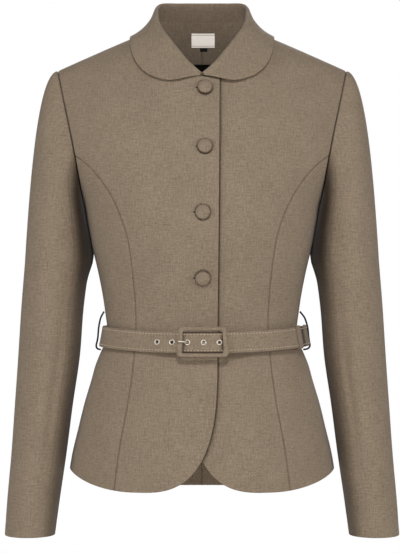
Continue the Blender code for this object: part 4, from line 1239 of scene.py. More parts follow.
class ArmRing(NamedTuple):
    """Level section of the sleeve below its cap."""

    z: float
    centre_x: float
    half_width: float
    centre_y: float
    half_depth: float


@dataclass(frozen=True)
class Sleeves:
    """Two-piece set-in sleeves: a cap of Bezier lines from the armhole, then level ellipses to the cuff."""

    panels: BodyPanels
    rings: tuple[ArmRing, ...] = (
        ArmRing(-0.3, 0.1955, 0.0435, 0.002, 0.058), ArmRing(-0.362, 0.202, 0.042, 0.003, 0.056),
        ArmRing(-0.427, 0.2065, 0.0415, 0.001, 0.0535), ArmRing(-0.491, 0.213, 0.039, -0.005, 0.051),
        ArmRing(-0.556, 0.219, 0.037, -0.013, 0.048), ArmRing(-0.621, 0.226, 0.035, -0.023, 0.045),
        ArmRing(-0.664, 0.23, 0.0335, -0.03, 0.043),
    )
    seat: float = 0.4 * MM
    cap_steps: int = 48
    arm_steps: int = 96
    cap_reach: float = 0.55
    cap_spread: float = 0.65
    cap_lift: float = 0.1
    cap_splay: float = 0.06
    armpit_tuck: float = 0.16
    hem_depth: float = 18 * MM
    hem_press: float = 0.35 * MM
    hem_press_reach: float = 1.2 * MM
    seam_dip: float = 0.5 * MM
    # Folds by length round the arm from its outer side, front minus, and height
    folds: tuple[Fold, ...] = (
        Fold(-0.098, -0.29, -0.088, -0.61, 6.5 * MM, 2.2 * MM),
        Fold(-0.08, -0.3, -0.072, -0.59, 8.0 * MM, -1.2 * MM),
        Fold(-0.115, -0.235, -0.06, -0.33, 9.0 * MM, 1.2 * MM),
        Fold(-0.12, -0.4, -0.055, -0.455, 9.0 * MM, 0.9 * MM),
        Fold(0.11, -0.4, 0.04, -0.47, 11.0 * MM, 1.6 * MM),
        Fold(0.11, -0.45, 0.045, -0.5, 10.0 * MM, 1.2 * MM),
        Fold(0.1477, -0.25, 0.1477, -0.33, 20.0 * MM, -3.4 * MM),
        Fold(-0.1477, -0.25, -0.1477, -0.33, 20.0 * MM, -3.4 * MM),
        Fold(0.126, -0.205, 0.126, -0.34, 14.0 * MM, -8.2 * MM),
    )
    girth_radius: float = 0.047
    seam_shade: float = 0.1
    # Painted shade on the side that hangs against the body, by angle round the arm, and its share lower down
    inner_shade: float = 0.9
    inner_angles: tuple[float, float] = (2.02, 2.6)
    lower_share: float = 0.55

    def armhole_loop(self) -> Array:
        """Points of the whole armhole: front notch, up to the tip, down the back and under the arm.

        Returns:
            Points, one row each.
        """
        form, panels = self.panels.form, self.panels
        back, front = Face.BACK, Face.FRONT
        parts = ((panels.upper_arm(front)[::-1], front), (panels.upper_arm(back)[1:], back),
                 (panels.lower_arm(back)[1:], back), (panels.lower_arm(front)[-2:0:-1], front))
        return np.concatenate([form.point(places, face) for places, face in parts])

    def angles(self, loop: Array) -> Array:
        """Angle round the arm for each armhole point: 0 outside, a half turn at the armpit, front minus.

        Args:
            loop: Points of the whole armhole.

        Returns:
            Angles in radians.
        """
        fine = self.panels.fine
        tip = self.panels.upper_arm_steps * fine
        armpit = 2 * tip + self.panels.lower_arm_steps * fine
        back = math.pi * shares_along(loop[tip:armpit + 1]) ** self.cap_spread
        front_line = np.concatenate((loop[armpit:], loop[:tip + 1]))[::-1]
        front = -math.pi * shares_along(front_line) ** self.cap_spread
        return np.concatenate((front[tip:0:-1], back, front[-2:tip:-1]))

    def ring(self, angles: Array, z: Array) -> Array:
        """Points of level ellipses, one row for each height."""
        table = np.array(self.rings)[::-1]
        x, half_width, y, half_depth = smooth_curve(z, table[:, 0], table[:, 1:]).T[..., None]
        return joined(x + half_width * np.cos(angles), y + half_depth * np.sin(angles), z[:, None])

    def grid(self) -> Array:
        """Whole left sleeve, rows from the armhole to the cuff: points, directions out, grain and shade.

        Returns:
            Points, directions, flat places and shade, side by side.
        """
        panels = self.panels
        loop = self.armhole_loop() + (self.seat, 0.0, 0.0)
        angles = self.angles(loop)
        first = self.ring(angles, np.array([self.rings[0].z]))[0]
        height = ((loop[:, 2] - panels.armpit_z) / (panels.tip_z - panels.armpit_z)).clip(0.0, 1.0)[:, None]
        span = np.abs(first - loop)
        leave = unit(height * (1.0, 0.0, -self.cap_lift) + (1.0 - height) * (-self.armpit_tuck, 0.0, -1.0))
        near = loop + leave * self.cap_reach * (span[:, :1] * height + span[:, 2:] * (1.0 - height))
        splay = self.cap_splay * (1.0 + np.cos(angles)) / 2
        rise = joined(-splay, 0.0, 1.0)
        cap = bezier((loop, near, first + rise * self.cap_reach * span[:, 2:], first), self.cap_steps)
        arm = self.ring(angles, np.linspace(self.rings[0].z, self.rings[-1].z, self.arm_steps + 1)[1:])
        points = np.concatenate((cap, arm))
        around = np.roll(points, -1, axis=1) - np.roll(points, 1, axis=1)
        normal = unit(np.cross(np.gradient(points, axis=0), around))
        up = lengths_along(points, 0)
        press = self.hem_press * bell(up[-1:] - up - self.hem_depth, self.hem_press_reach)
        girth = np.broadcast_to(angles * self.girth_radius, up.shape)
        move = fold_relief(girth, points[..., 2], self.folds) - press
        close = self.lower_share + (1.0 - self.lower_share) * panels.form.arm_near(points[..., 2])
        shade = self.inner_shade * ease(np.abs(angles), *self.inner_angles) * close
        rest = joined(girth, up[-1:] - up, shade)
        return np.concatenate((points + normal * move[..., None], normal, rest), axis=-1)

    def build(self, finish: Material) -> None:
        """Make the top and under sleeve of each side.

        Args:
            finish: Material of the pieces.
        """
        whole = self.grid()
        split = 2 * self.panels.upper_arm_steps * self.panels.fine
        under = np.append(np.arange(split, whole.shape[1]), 0)
        for name, chosen in (("sleeve_top_left", np.arange(split + 1)), ("sleeve_under_left", under)):
            part = whole[:, chosen]
            part[..., 6] = np.unwrap(part[..., 6], period=2 * math.pi * self.girth_radius, axis=1)
            part = crowd_edges(part)
            shades = (self.panels.arm_shade(part[:1, :, 2]), 0.0, self.seam_shade, self.seam_shade)
            left = ClothSheet(name, part[..., :3], unit(part[..., 3:6]), self.panels.cloth, shades=shades,
                              seam_dip=self.seam_dip, lines=part[..., 8], flat=part[..., 6:8])
            left.hang_pair(finish, "front_{}", "back_{}")


# Collar


@dataclass(frozen=True)
class Collar:
    """Rounded collar of one folded piece: a stand, a roll and a fall that lies on the body."""

    panels: BodyPanels
    # x, y and z of the line that the collar rolls over
    roll_line: Table = (
        (0.0000, 0.05, 0.0544), (0.032, 0.0478, 0.0541), (0.056, 0.0395, 0.0525),
        (0.0615, 0.024, 0.0462), (0.0612, 0.007, 0.0367), (0.058, -0.018, 0.019),
        (0.048, -0.038, 0.0024), (0.0338, -0.054, -0.0169), (0.0202, -0.065, -0.034),
        (0.002, -0.0725, -0.0512),
    )
    # Share along the collar, x, and run from the shoulder line, below 0 on the back
    outer_edge: Table = (
        (0.00, 0.0000, -0.105), (0.25, 0.06, -0.081), (0.45, 0.094, 0.0000), (0.6, 0.092, 0.0945),
        (0.75, 0.0705, 0.1495), (0.85, 0.0435, 0.1715), (0.93, 0.0223, 0.1743), (0.965, 0.0125, 0.1735),
        (1.00, 0.0022, 0.172),
    )
    cloth: float = 2.2 * MM
    seat: float = 1.0 * MM
    roll_radius: float = 2.6 * MM
    roll_radius_at_front: float = 1.5 * MM
    roll_narrows_at: float = 0.75
    roll_turn: float = 155 * DEG
    fall_leave: float = 0.26
    fall_arrive: float = 0.33
    stand_tuck: float = -1.0 * MM
    stand_swing: float = 2.8 * MM
    stand_out: float = 0.4 * MM
    stand_lift: float = 0.3 * MM
    # Painted shade on the inside of the stand
    inside_shade: float = 0.4
    grain_lean: float = 0.7
    # The front lobes stand off the body a little, by shares along the collar
    edge_lift: float = 2.3 * MM
    lift_range: tuple[float, float] = (0.4, 0.6)
    lift_end: tuple[float, float] = (0.93, 1.0)
    steps: int = 96
    stand_steps: int = 10
    roll_steps: int = 12
    fall_steps: int = 26

    def neck_edge(self) -> tuple[Array, Array]:
        """Points and directions of the neck edge from the centre back to the centre front.

        Returns:
            Points and unit vectors.
        """
        form, lines = self.panels.form, []
        for face, line in ((Face.BACK, self.panels.neck_line(Face.BACK)),
                           (Face.FRONT, self.panels.neck_line(Face.FRONT)[::-1])):
            lines.append(np.concatenate((form.point(line, face), form.normal(line, face)), axis=1))
        whole = np.concatenate((lines[0], lines[1][1:]))
        at, shares = even(self.steps), shares_along(whole[:, :3])
        chords = joined(*(np.interp(at, shares, column) for column in whole.T))
        return chords[:, :3], unit(chords[:, 3:])

    def fall_edge(self) -> tuple[Array, Array]:
        """Points and directions of the outer edge on the body form, from the centre back to the front.

        Returns:
            Points and unit vectors.
        """
        form, table = self.panels.form, np.array(self.outer_edge)
        x, run = smooth_curve(even(self.steps), table[:, 0], table[:, 1:]).T
        places = form.place(x, form.ridge(x) - form.drop(np.abs(run)))
        front = (run >= 0)[:, None]
        return (np.where(front, form.point(places, Face.FRONT), form.point(places, Face.BACK)),
                np.where(front, form.normal(places, Face.FRONT), form.normal(places, Face.BACK)))

    def half(self) -> Array:
        """Middle surface of the left half: straight stand, circular roll, Bezier fall.

        Returns:
            Grid of points, rows from the stand's foot to the outer edge.
        """
        foot, foot_normal = self.neck_edge()
        edge, edge_normal = self.fall_edge()
        at = even(self.steps)[:, None]
        roll = smooth_line(self.roll_line, at[:, 0])
        rise = unit(roll - foot)
        facing = np.sum(rise * foot_normal, axis=1, keepdims=True)
        tuck = np.clip(self.stand_tuck + self.stand_swing * facing, self.stand_tuck, self.stand_out)
        foot = foot + foot_normal * tuck + rise * self.stand_lift
        lift = self.edge_lift * ease(at, *self.lift_range) * (1.0 - ease(at, *self.lift_end))
        edge = edge + edge_normal * (self.seat + self.cloth / 2 + lift)
        rise = unit(roll - foot)
        out = edge - roll
        out = unit(out - rise * np.sum(out * rise, axis=1, keepdims=True))
        narrower = self.roll_radius - self.roll_radius_at_front
        radius = self.roll_radius - narrower * ease(at, self.roll_narrows_at, 1.0)
        middle = roll - rise * radius
        stand = foot + (middle - out * radius - foot) * even(self.stand_steps)[:, None, None]
        angle = self.roll_turn * even(self.roll_steps)[1:, None, None]
        turn = middle + radius * (rise * np.sin(angle) - out * np.cos(angle))
        start = turn[-1]
        length = np.linalg.norm(edge - start, axis=1, keepdims=True)
        leave = rise * math.cos(self.roll_turn) + out * math.sin(self.roll_turn)
        arrive = edge - start
        arrive = unit(arrive - edge_normal * np.sum(arrive * edge_normal, axis=1, keepdims=True))
        near, far = start + leave * length * self.fall_leave, edge - arrive * length * self.fall_arrive
        return np.concatenate((stand, turn, bezier((start, near, far, edge), self.fall_steps)[1:]))

    def build(self, finish: Material) -> None:
        """Make the collar, its two ends meeting at the centre front.

        Args:
            finish: Material of the pieces.
        """
        half = self.half()
        middle = crowd_edges(np.concatenate((half[:, :0:-1] * MIRROR, half), axis=1))
        normal = grid_normals(middle)
        x, y, z = np.moveaxis(middle, -1, 0)
        row = np.linspace(0.0, len(half) - 1, len(middle))[:, None]
        inside = 1.0 - ease(row, self.stand_steps, self.stand_steps + self.roll_steps / 2)
        sheet = ClothSheet("collar", middle + normal * self.cloth / 2, normal, self.cloth,
                           (Edge.SEAM, Edge.FOLD, Edge.FOLD, Edge.FOLD), lines=self.inside_shade * inside,
                           flat=joined(x, z + self.grain_lean * y))
        sheet.add(finish, "suiting", "folded", ("front_left", "front_right", "back_left", "back_right"))


# Buttons


@dataclass(frozen=True)
class Buttons:
    """Domed covered buttons on short shanks, down the right front."""

    form: BodyForm
    spots: tuple[Spot, ...] = (
        Spot(0.004, -0.0707), Spot(0.0037, -0.1497), Spot(0.001, -0.2358), Spot(0.001, -0.3212),
    )
    # Radius and height
    profile: Table = (
        (0.003, 0.0003), (0.003, 0.0011), (0.0088, 0.0013), (0.0098, 0.0018), (0.01, 0.0026),
        (0.0096, 0.0035), (0.0085, 0.0045), (0.0065, 0.0054), (0.004, 0.006), (0.0015, 0.0062),
    )
    # Painted shade on the cloth under the edge, by distance from the middle, and on the button's own rim
    shade_range: tuple[float, float] = (11.6 * MM, 9.6 * MM)
    rim: tuple[float, float] = (8.4 * MM, 9.9 * MM)
    rim_height: tuple[float, float] = (5.2 * MM, 3.6 * MM)
    rim_shade: float = 0.55
    rings: int = 48
    sides: int = 64
    hole_from: float = 5.0 * MM
    hole_to: float = 12.8 * MM
    hole_radius: float = 0.75 * MM
    hole_steps: int = 24
    hole_sides: int = 12
    hole_blunt: float = 0.99
    hole_power: int = 8

    def hole(self, number: int, spot: Spot) -> Piece:
        """Sewn slit that runs out from under a button towards the wearer's right, flat and round-ended.

        Args:
            number: Number of the button.
            spot: Place of the button.

        Returns:
            The slit.
        """
        share = np.linspace(-1.0, 1.0, self.hole_steps + 1)
        x = spot.x - (self.hole_from + self.hole_to) / 2 + share * (self.hole_to - self.hole_from) / 2
        place = self.form.place(x, np.full_like(x, spot.z))
        radius = self.hole_radius * np.sqrt(1.0 - (self.hole_blunt * share) ** self.hole_power)
        rings = tube(self.form.point(place, Face.FRONT), np.array((0.0, 0.0, 1.0)), radius, self.hole_sides)
        return loft("buttonhole_%d" % number, rings, ring_uv(rings))

    def build(self, finishes: Finishes) -> None:
        """Turn each button; its flat cloth place is the distance from the crown in both directions.

        Args:
            finishes: The jacket's materials.
        """
        profile = smooth_line(self.profile, even(self.rings))
        rim = self.rim_shade * ease(profile[:, 0], *self.rim) * ease(profile[:, 1], *self.rim_height)
        shade = np.append(np.repeat(rim, self.sides), (0, 0))
        for number, spot in enumerate(self.spots, start=1):
            place = self.form.place(spot.x, spot.z)
            axis = self.form.normal(place, Face.FRONT)
            rings = turned(profile, self.form.point(place, Face.FRONT), axis, self.sides)
            level = unit(np.cross(axis, (0.0, 0.0, 1.0)))
            offset = rings - rings[-1].mean(axis=0)
            uv = joined(offset @ level, offset @ np.cross(level, axis))
            button = replace(loft("button_%d" % number, rings, uv), seam=shade)
            button.add(finishes.suiting, "suiting", button.name)
            self.hole(number, spot).add(finishes.loop, "dark_thread")


# Belt, buckle and what is on them


@dataclass(frozen=True)
class Belt:
    """One strip from the buckle bar round the waist and over its own start, with its stitches and eyelets."""

    form: BodyForm
    z: float = -0.4003
    dip: float = 0.0068
    half_width: float = 14.0 * MM
    cloth: float = 2.8 * MM
    off: float = 3.0 * MM
    off_buckle: float = 8.2 * MM
    off_over: float = 6.3 * MM
    start: float = 1.0 * DEG
    tip: float = 458 * DEG
    ramp_up: tuple[float, float] = (330 * DEG, 349 * DEG)
    ramp_down: tuple[float, float] = (376 * DEG, 394 * DEG)
    steps: int = 640
    side_points: int = 23
    corner_points: int = 7
    eyelet_x: tuple[float, ...] = (-0.0557, -0.037, -0.0182, 0.002, 0.0213)
    eyelet_hole: float = 2.2 * MM
    # Radius and height
    eyelet_profile: Table = (
        (0.00205, -0.0024), (0.0021, 0.0003), (0.0024, 0.0009), (0.0031, 0.0012), (0.0037, 0.0009),
        (0.0039, 0.0003), (0.0032, 0.0001), (0.00215, -0.0001), (0.00215, -0.0024),
    )
    eyelet_sides: int = 36
    eyelet_steps: int = 40
    # How far the cutters of the holes reach past the strap's two faces
    cutter_past: tuple[float, float] = (0.3 * MM, 1.0 * MM)
    # Painted shade on the strap beside the loop that holds its end, in place of a dark gap
    slit: float = 73.6 * DEG
    slit_reach: float = 2.6 * DEG
    # The free end of the strap springs off the body past the fabric loop
    spring: float = 3.6 * MM
    spring_range: tuple[float, float] = (430 * DEG, 446 * DEG)
    # Painted shade at the top and the sides of the buckle's window, under the frame
    window_x: float = 0.0008
    window_reach: float = 26.5 * MM
    window_turn: float = 0.5
    window_rise: float = 13.5 * MM
    window_side: float = 25.7 * MM
    window_shade_reach: float = 1.3 * MM
    shade_depth: float = 0.9
    stitch_pitch: float = 4.4 * MM
    stitch_length: float = 2.4 * MM
    stitch_radius: float = 0.6 * MM
    stitch_inset: float = 3.4 * MM
    stitch_lift: float = 0.21 * MM
    stitch_ends: tuple[float, float] = (2 * DEG, 1 * DEG)
    stitch_sides: int = 6
    # Shares along a stitch, and its thickness there
    stitch_shares: tuple[float, ...] = (0.0, 0.12, 0.5, 0.88, 1.0)
    stitch_swell: tuple[float, ...] = (0.25, 0.8, 1.0, 0.8, 0.25)
    line_steps: int = 1999

    def middle(self, angle: Array) -> tuple[Array, Array]:
        """Middle of the belt's seat on the body, and the way up along the belt's width."""
        z = self.z - self.dip * np.maximum(np.cos(angle), 0.0) ** 2
        top = self.form.waist_point(angle, z + self.half_width)
        foot = self.form.waist_point(angle, z - self.half_width)
        return (top + foot) / 2, unit(top - foot)

    def place(self, angle: Array, off: Array, rise: Array) -> Array:
        """Point at a distance off the body's waist and a rise above the belt's middle.

        Args:
            angle: Angles round the body.
            off: Distances off the body.
            rise: Distances above the belt's middle.

        Returns:
            Points.
        """
        angle = np.asarray(angle, dtype=float)
        middle, up = self.middle(angle)
        along = unit(self.middle(angle + TURN_STEP)[0] - self.middle(angle - TURN_STEP)[0])
        out = unit(np.cross(along, up))
        return middle + out * np.asarray(off)[..., None] + up * np.asarray(rise)[..., None]

    def angle(self, x: Array) -> Array:
        """Angle round the body at which the belt's middle on the front has a given x."""
        half_width = float(self.form.size(self.z - self.dip, "half_width"))
        return np.sign(x) * np.arcsin((np.abs(x) / half_width) ** (self.form.power / 2))

    def strip_off(self, angle: Array) -> Array:
        """Distance of the strip's inner face from the body as it winds on: three eased ramps."""
        up = ease(angle, *self.ramp_up) * (self.off_buckle - self.off)
        up += ease(angle, *self.spring_range) * self.spring
        return self.off + up - ease(angle, *self.ramp_down) * (self.off_buckle - self.off_over)

    def section(self) -> Array:
        """Cross-section as distances out and up: flat faces between half-round edges.

        Returns:
            Two distances for each point.
        """
        radius = self.cloth / 2
        flat = np.linspace(-1.0, 1.0, self.side_points) * (self.half_width - radius)
        turn = np.linspace(0.0, math.pi, self.corner_points)[1:-1]
        top = joined(radius - radius * np.cos(turn), self.half_width - radius + radius * np.sin(turn))
        half = np.concatenate((joined(0.0, flat), top))
        return np.concatenate((half, (self.cloth, 0.0) - half))

    def strap_face(self, x: float) -> tuple[Array, Array]:
        """Point and outward direction of the strap's outer face over the front at a given x."""
        angle = self.angle(x) + 2 * math.pi
        here, before, after = (self.place(a, self.strip_off(a) + self.cloth, 0.0)
                               for a in (angle, angle - TURN_STEP, angle + TURN_STEP))
        return here, unit(np.cross(after - before, self.middle(angle)[1]))

    def strip(self) -> Piece:
        """The strip as its section carried along its winding.

        Returns:
            The strip, with painted shade beside the loop and in the buckle's window.
        """
        angles = np.linspace(self.start, self.tip, self.steps + 1)[:, None]
        out, rise = self.section().T
        sections = self.place(angles, self.strip_off(angles) + out, rise)
        uv = joined(lengths_along(sections.mean(axis=1)[:, None], 0), rise)
        turn, beside = angles - 2 * math.pi, np.abs(sections[..., 0] - self.window_x)
        inside = (beside < self.window_reach) & (np.abs(turn) < self.window_turn)
        top = bell(np.abs(rise) - self.window_rise, self.window_shade_reach)
        side = bell(beside - self.window_side, self.window_shade_reach)
        shade = np.maximum(bell(turn - self.slit, self.slit_reach), inside * np.maximum(top, side))
        shade = self.shade_depth * shade * (out > self.cloth / 2)
        return replace(loft("belt", sections, uv), seam=np.append(shade, (0, 0)))

    def cut_eyelet_holes(self, strip: bpy.types.Object) -> None:
        """Cut a round hole for each eyelet with a Boolean, and keep the result as the strip's own mesh.

        Args:
            strip: The belt's strip.
        """
        below, above = self.cutter_past
        profile = np.array(((self.eyelet_hole, -self.cloth - below), (self.eyelet_hole, above)))
        cutters = []
        for x in self.eyelet_x:
            rings = turned(profile, *self.strap_face(x), self.eyelet_sides)
            cutters.append(loft("eyelet_cutter", rings, ring_uv(rings)).plain())
            cut = strip.modifiers.new("eyelet hole", "BOOLEAN")
            cut.operation, cut.object = "DIFFERENCE", cutters[-1]
        bpy.context.view_layer.update()
        graph = bpy.context.evaluated_depsgraph_get()
        shaped = strip.evaluated_get(graph)
        mesh = bpy.data.meshes.new_from_object(shaped, preserve_all_data_layers=True, depsgraph=graph)
        strip.modifiers.clear()
        strip.data = mesh
        mesh.name = strip.name
        for cutter in cutters:
            bpy.data.objects.remove(cutter, do_unlink=True)

    def stitches(self, side: float) -> Piece:
        """Topstitches along one edge of the outer layer: short round-ended threads at an even pitch.

        Args:
            side: 1 along the top edge, -1 along the foot.

        Returns:
            All the stitches of that edge as one piece.
        """
        first, last = self.tip - 2 * math.pi + self.stitch_ends[0], self.tip - self.stitch_ends[1]
        fine = np.linspace(first, last, self.line_steps + 1)
        off = self.strip_off(fine) + self.cloth + self.stitch_lift
        line = self.place(fine, off, side * (self.half_width - self.stitch_inset))
        length = lengths_along(line[:, None], 0)[:, 0]
        starts = np.arange(0.5 * self.stitch_pitch, length[-1] - self.stitch_pitch, self.stitch_pitch)
        at = starts[:, None] + np.array(self.stitch_shares) * self.stitch_length
        path = joined(*(np.interp(at, length, column) for column in line.T))
        up = self.middle(np.interp(at, length, fine))[1]
        out = unit(np.cross(unit(path[:, -1:] - path[:, :1]), up))
        angles = full_turn(self.stitch_sides)
        circle = np.cos(angles)[:, None] * up[:, :, None] + np.sin(angles)[:, None] * out[:, :, None]
        swell = self.stitch_radius * np.array(self.stitch_swell)[:, None, None]
        rings = path[:, :, None] + swell * circle
        count, rows, sides = rings.shape[:3]
        number = np.arange(sides)
        ends = np.stack((-number % sides, number + (rows - 1) * sides))
        step = (np.arange(count) * rows * sides)[:, None, None]
        faces = [(group[:, ::-1] + step).reshape(-1, group.shape[1])
                 for group in (grid_faces(rows, sides, round_columns=True), ends)]
        uv = joined(angles * self.stitch_radius, at[:, :, None])
        name = "belt_stitches_" + ("top" if side > 0 else "foot")
        return Piece(name, rings.reshape(-1, 3), faces, uv.reshape(-1, 2))

    def build(self, finishes: Finishes) -> None:
        """Make the strip, its holes, the eyelets and the stitches.

        Args:
            finishes: The jacket's materials.
        """
        strip = self.strip().add(finishes.suiting, "suiting", "belt")
        self.cut_eyelet_holes(strip)
        angles = np.linspace(self.start, self.tip, self.steps + 1)
        line = self.place(angles, self.strip_off(angles), 0.0)
        length = float(lengths_along(line[:, None], 0)[-1, 0])
        stitches = [self.stitches(side).add(finishes.stitch, "suiting") for side in (1.0, -1.0)]
        profile = smooth_line(self.eyelet_profile, even(self.eyelet_steps))
        for number, x in enumerate(self.eyelet_x, start=1):
            rings = turned(profile, *self.strap_face(x), self.eyelet_sides)
            name = "eyelet_%d" % number
            loft(name, rings[:-1], ring_uv(rings[:-1]), round_rows=True).add(finishes.steel, "steel", name)


def rounded_rectangle(width: float, height: float, corner: float, corner_points: int,
                      side_steps: int) -> Array:
    """Points round a rectangle with circular corners, the same number at each corner and side.

    Args:
        width: First size.
        height: Second size.
        corner: Radius of the corners.
        corner_points: Points at each corner.
        side_steps: Steps along each straight side.

    Returns:
        One row of two places for each point.
    """
    corners = []
    for quarter, (side, level) in enumerate(((1, 1), (-1, 1), (-1, -1), (1, -1))):
        turns = math.pi / 2 * (quarter + even(corner_points - 1))
        corners.append(joined(side * (width / 2 - corner) + corner * np.cos(turns),
                              level * (height / 2 - corner) + corner * np.sin(turns)))
    between = even(side_steps)[1:-1, None]
    pairs = zip(corners, corners[1:] + corners[:1])
    return np.concatenate([part for here, there in pairs
                           for part in (here, here[-1] + (there[0] - here[-1]) * between)])


@dataclass(frozen=True)
class Buckle:
    """Covered rectangular frame, the wire bar on its back and the prong that rests on it."""

    belt: Belt
    x: float = 0.0007
    length: float = 61.5 * MM
    height: float = 40 * MM
    corner: float = 5.5 * MM
    window_length: float = 49.5 * MM
    window_height: float = 29.5 * MM
    window_corner: float = 2.2 * MM
    thickness: float = 4.5 * MM
    clear: float = 0.5 * MM
    power: float = 2.7
    corner_points: int = 10
    side_steps: int = 24
    section_steps: int = 24
    bar_x: float = 11.5 * MM
    bar_off: float = 7.0 * MM
    bar_radius: float = 0.9 * MM
    bar_reach: float = 17.0 * MM
    bar_bend_off: float = 0.8 * MM
    bar_bend_rise: float = 1.0 * MM
    lug_tuck: float = 0.2 * MM
    prong_radius: float = 1.05 * MM
    # x along the belt and distance off the body
    prong_path: Table = (
        (0.0098, 0.007), (-0.008, 0.0067), (-0.0155, 0.0067), (-0.0177, 0.0079), (-0.0183, 0.0096),
        (-0.0187, 0.0118), (-0.02, 0.0146), (-0.0228, 0.0168), (-0.0258, 0.0174), (-0.0292, 0.0173),
    )
    prong_steps: int = 90
    # The tip rounds off from this share of the prong on, to a small blunt end
    prong_tip: float = 0.97
    prong_blunt: float = 0.995
    wire_sides: int = 16

    @property
    def off(self) -> float:
        """Distance of the frame's back from the body."""
        return self.belt.off_buckle + self.belt.cloth + self.clear

    def frame_piece(self) -> Piece:
        """Padded frame: a superellipse section between the outline and the window, carried round.

        Returns:
            The frame.
        """
        points = (self.corner_points, self.side_steps)
        outside = rounded_rectangle(self.length, self.height, self.corner, *points)
        inside = rounded_rectangle(self.window_length, self.window_height, self.window_corner, *points)
        middle, half = (outside + inside) / 2, (outside - inside) / 2
        angle = full_turn(self.section_steps)
        across, through = (np.sign(wave) * np.abs(wave) ** (2 / self.power)
                           for wave in (np.cos(angle), np.sin(angle)))
        flat = middle[:, None] + half[:, None] * across[:, None]
        off = self.off + self.thickness / 2 * (1 + through)
        sections = self.belt.place(self.belt.angle(self.x + flat[..., 0]), off, flat[..., 1])
        return loft("buckle_frame", sections, flat, round_rows=True)

    def build(self, finishes: Finishes) -> None:
        """Make the frame, the bar and the prong.

        Args:
            finishes: The jacket's materials.
        """
        self.frame_piece().add(finishes.suiting, "suiting", "buckle_frame")
        bend_off, bend_rise = self.bar_off + self.bar_bend_off, self.bar_reach - self.bar_bend_rise
        lug = self.off - self.lug_tuck
        upper = np.array(((lug, self.bar_reach), (bend_off, self.bar_reach), (self.bar_off, bend_rise),
                          (self.bar_off, 0.0)))
        spots = np.concatenate((upper, upper[-2::-1] * (1.0, -1.0)))
        angle = float(self.belt.angle(self.bar_x))
        path = self.belt.place(angle, spots[:, 0], spots[:, 1])
        before, after = self.belt.place((angle - TURN_STEP, angle + TURN_STEP), self.bar_off, 0.0)
        level = unit(after - before)
        rings = tube(path, level, self.bar_radius, self.wire_sides)
        loft("buckle_bar", rings, ring_uv(rings)).add(finishes.steel, "steel", "buckle_bar")
        share = even(self.prong_steps)
        x, off = smooth_line(self.prong_path, share).T
        points = self.belt.place(self.belt.angle(x), off, 0.0)
        past = ((share - self.prong_tip) / (1.0 - self.prong_tip)).clip(0.0, self.prong_blunt)
        taper = self.prong_radius * np.sqrt(1.0 - past**2)
        rings = tube(points, self.belt.middle(0.0)[1], taper, self.wire_sides)
        loft("buckle_prong", rings, ring_uv(rings)).add(finishes.steel, "steel", "buckle_prong")


@dataclass(frozen=True)
class Keeper:
    """Fabric loop round both layers of the belt."""

    belt: Belt
    angles: tuple[float, float] = (62.8 * DEG, 68.2 * DEG)
    steps: int = 28
    cloth: float = 1.2 * MM
    inner_off: float = 1.4 * MM
    outer_off: float = 10.7 * MM
    clear: float = 0.4 * MM
    corner: float = 1.6 * MM
    corner_points: int = 8

    def outline(self, wall: float) -> Array:
        """Distances off and up round the loop, a wall inside its outside."""
        depth = self.outer_off - self.inner_off - 2 * wall
        height = 2 * (self.belt.half_width + self.clear + self.cloth - wall)
        line = rounded_rectangle(depth, height, self.corner - wall, self.corner_points, 1)
        return line + ((self.inner_off + self.outer_off) / 2, 0.0)

    def build(self, finish: Material) -> None:
        """Make the loop as a closed band whose section is carried round it.

        Args:
            finish: Material of the pieces.
        """
        outside, inside = self.outline(0.0), self.outline(self.cloth)
        angles = np.linspace(*self.angles, self.steps + 1)
        bands = [self.belt.place(angles[::way], line[:, :1], line[:, 1:])
                 for line, way in ((outside, 1), (inside, -1))]
        sections = np.concatenate(bands, axis=1)
        keeper = loft("belt_keeper", sections, ring_uv(sections), round_rows=True)
        piece = keeper.add(finish, "suiting", "belt_keeper")


@dataclass(frozen=True)
class ThreadLoops:
    """Thread loops that stand out over the belt at both side seams."""

    form: BodyForm
    # Share of the loop's reach, and height
    path: Table = (
        (0.00, -0.3665), (0.54, -0.3752), (0.88, -0.3855), (1.00, -0.396), (0.97, -0.406),
        (0.84, -0.4125), (0.5, -0.4165), (0.00, -0.418),
    )
    radius: float = 1.2 * MM
    seat: float = 1.6 * MM
    right_reach: float = 12.2 * MM
    left_reach: float = 15.6 * MM
    steps: int = 72
    sides: int = 12

    def build(self, finish: Material) -> None:
        """Make both loops, each a wire along its smooth path.

        Args:
            finish: Material of the pieces.
        """
        table = np.array(self.path)
        share, z = smooth_curve(even(self.steps), even(len(table) - 1), table).T
        for name, side, reach in (("belt_loop_right", -1.0, self.right_reach),
                                  ("belt_loop_left", 1.0, self.left_reach)):
            x = self.form.size(z, "half_width") + self.seat + share.clip(0.0, 1.0) * (reach - self.seat)
            rings = tube(joined(side * x, 0.0, z), np.array((0.0, 1.0, 0.0)), self.radius, self.sides)
            loft(name, rings, ring_uv(rings)).add(finish, "dark_thread", name)


# Inside of the back


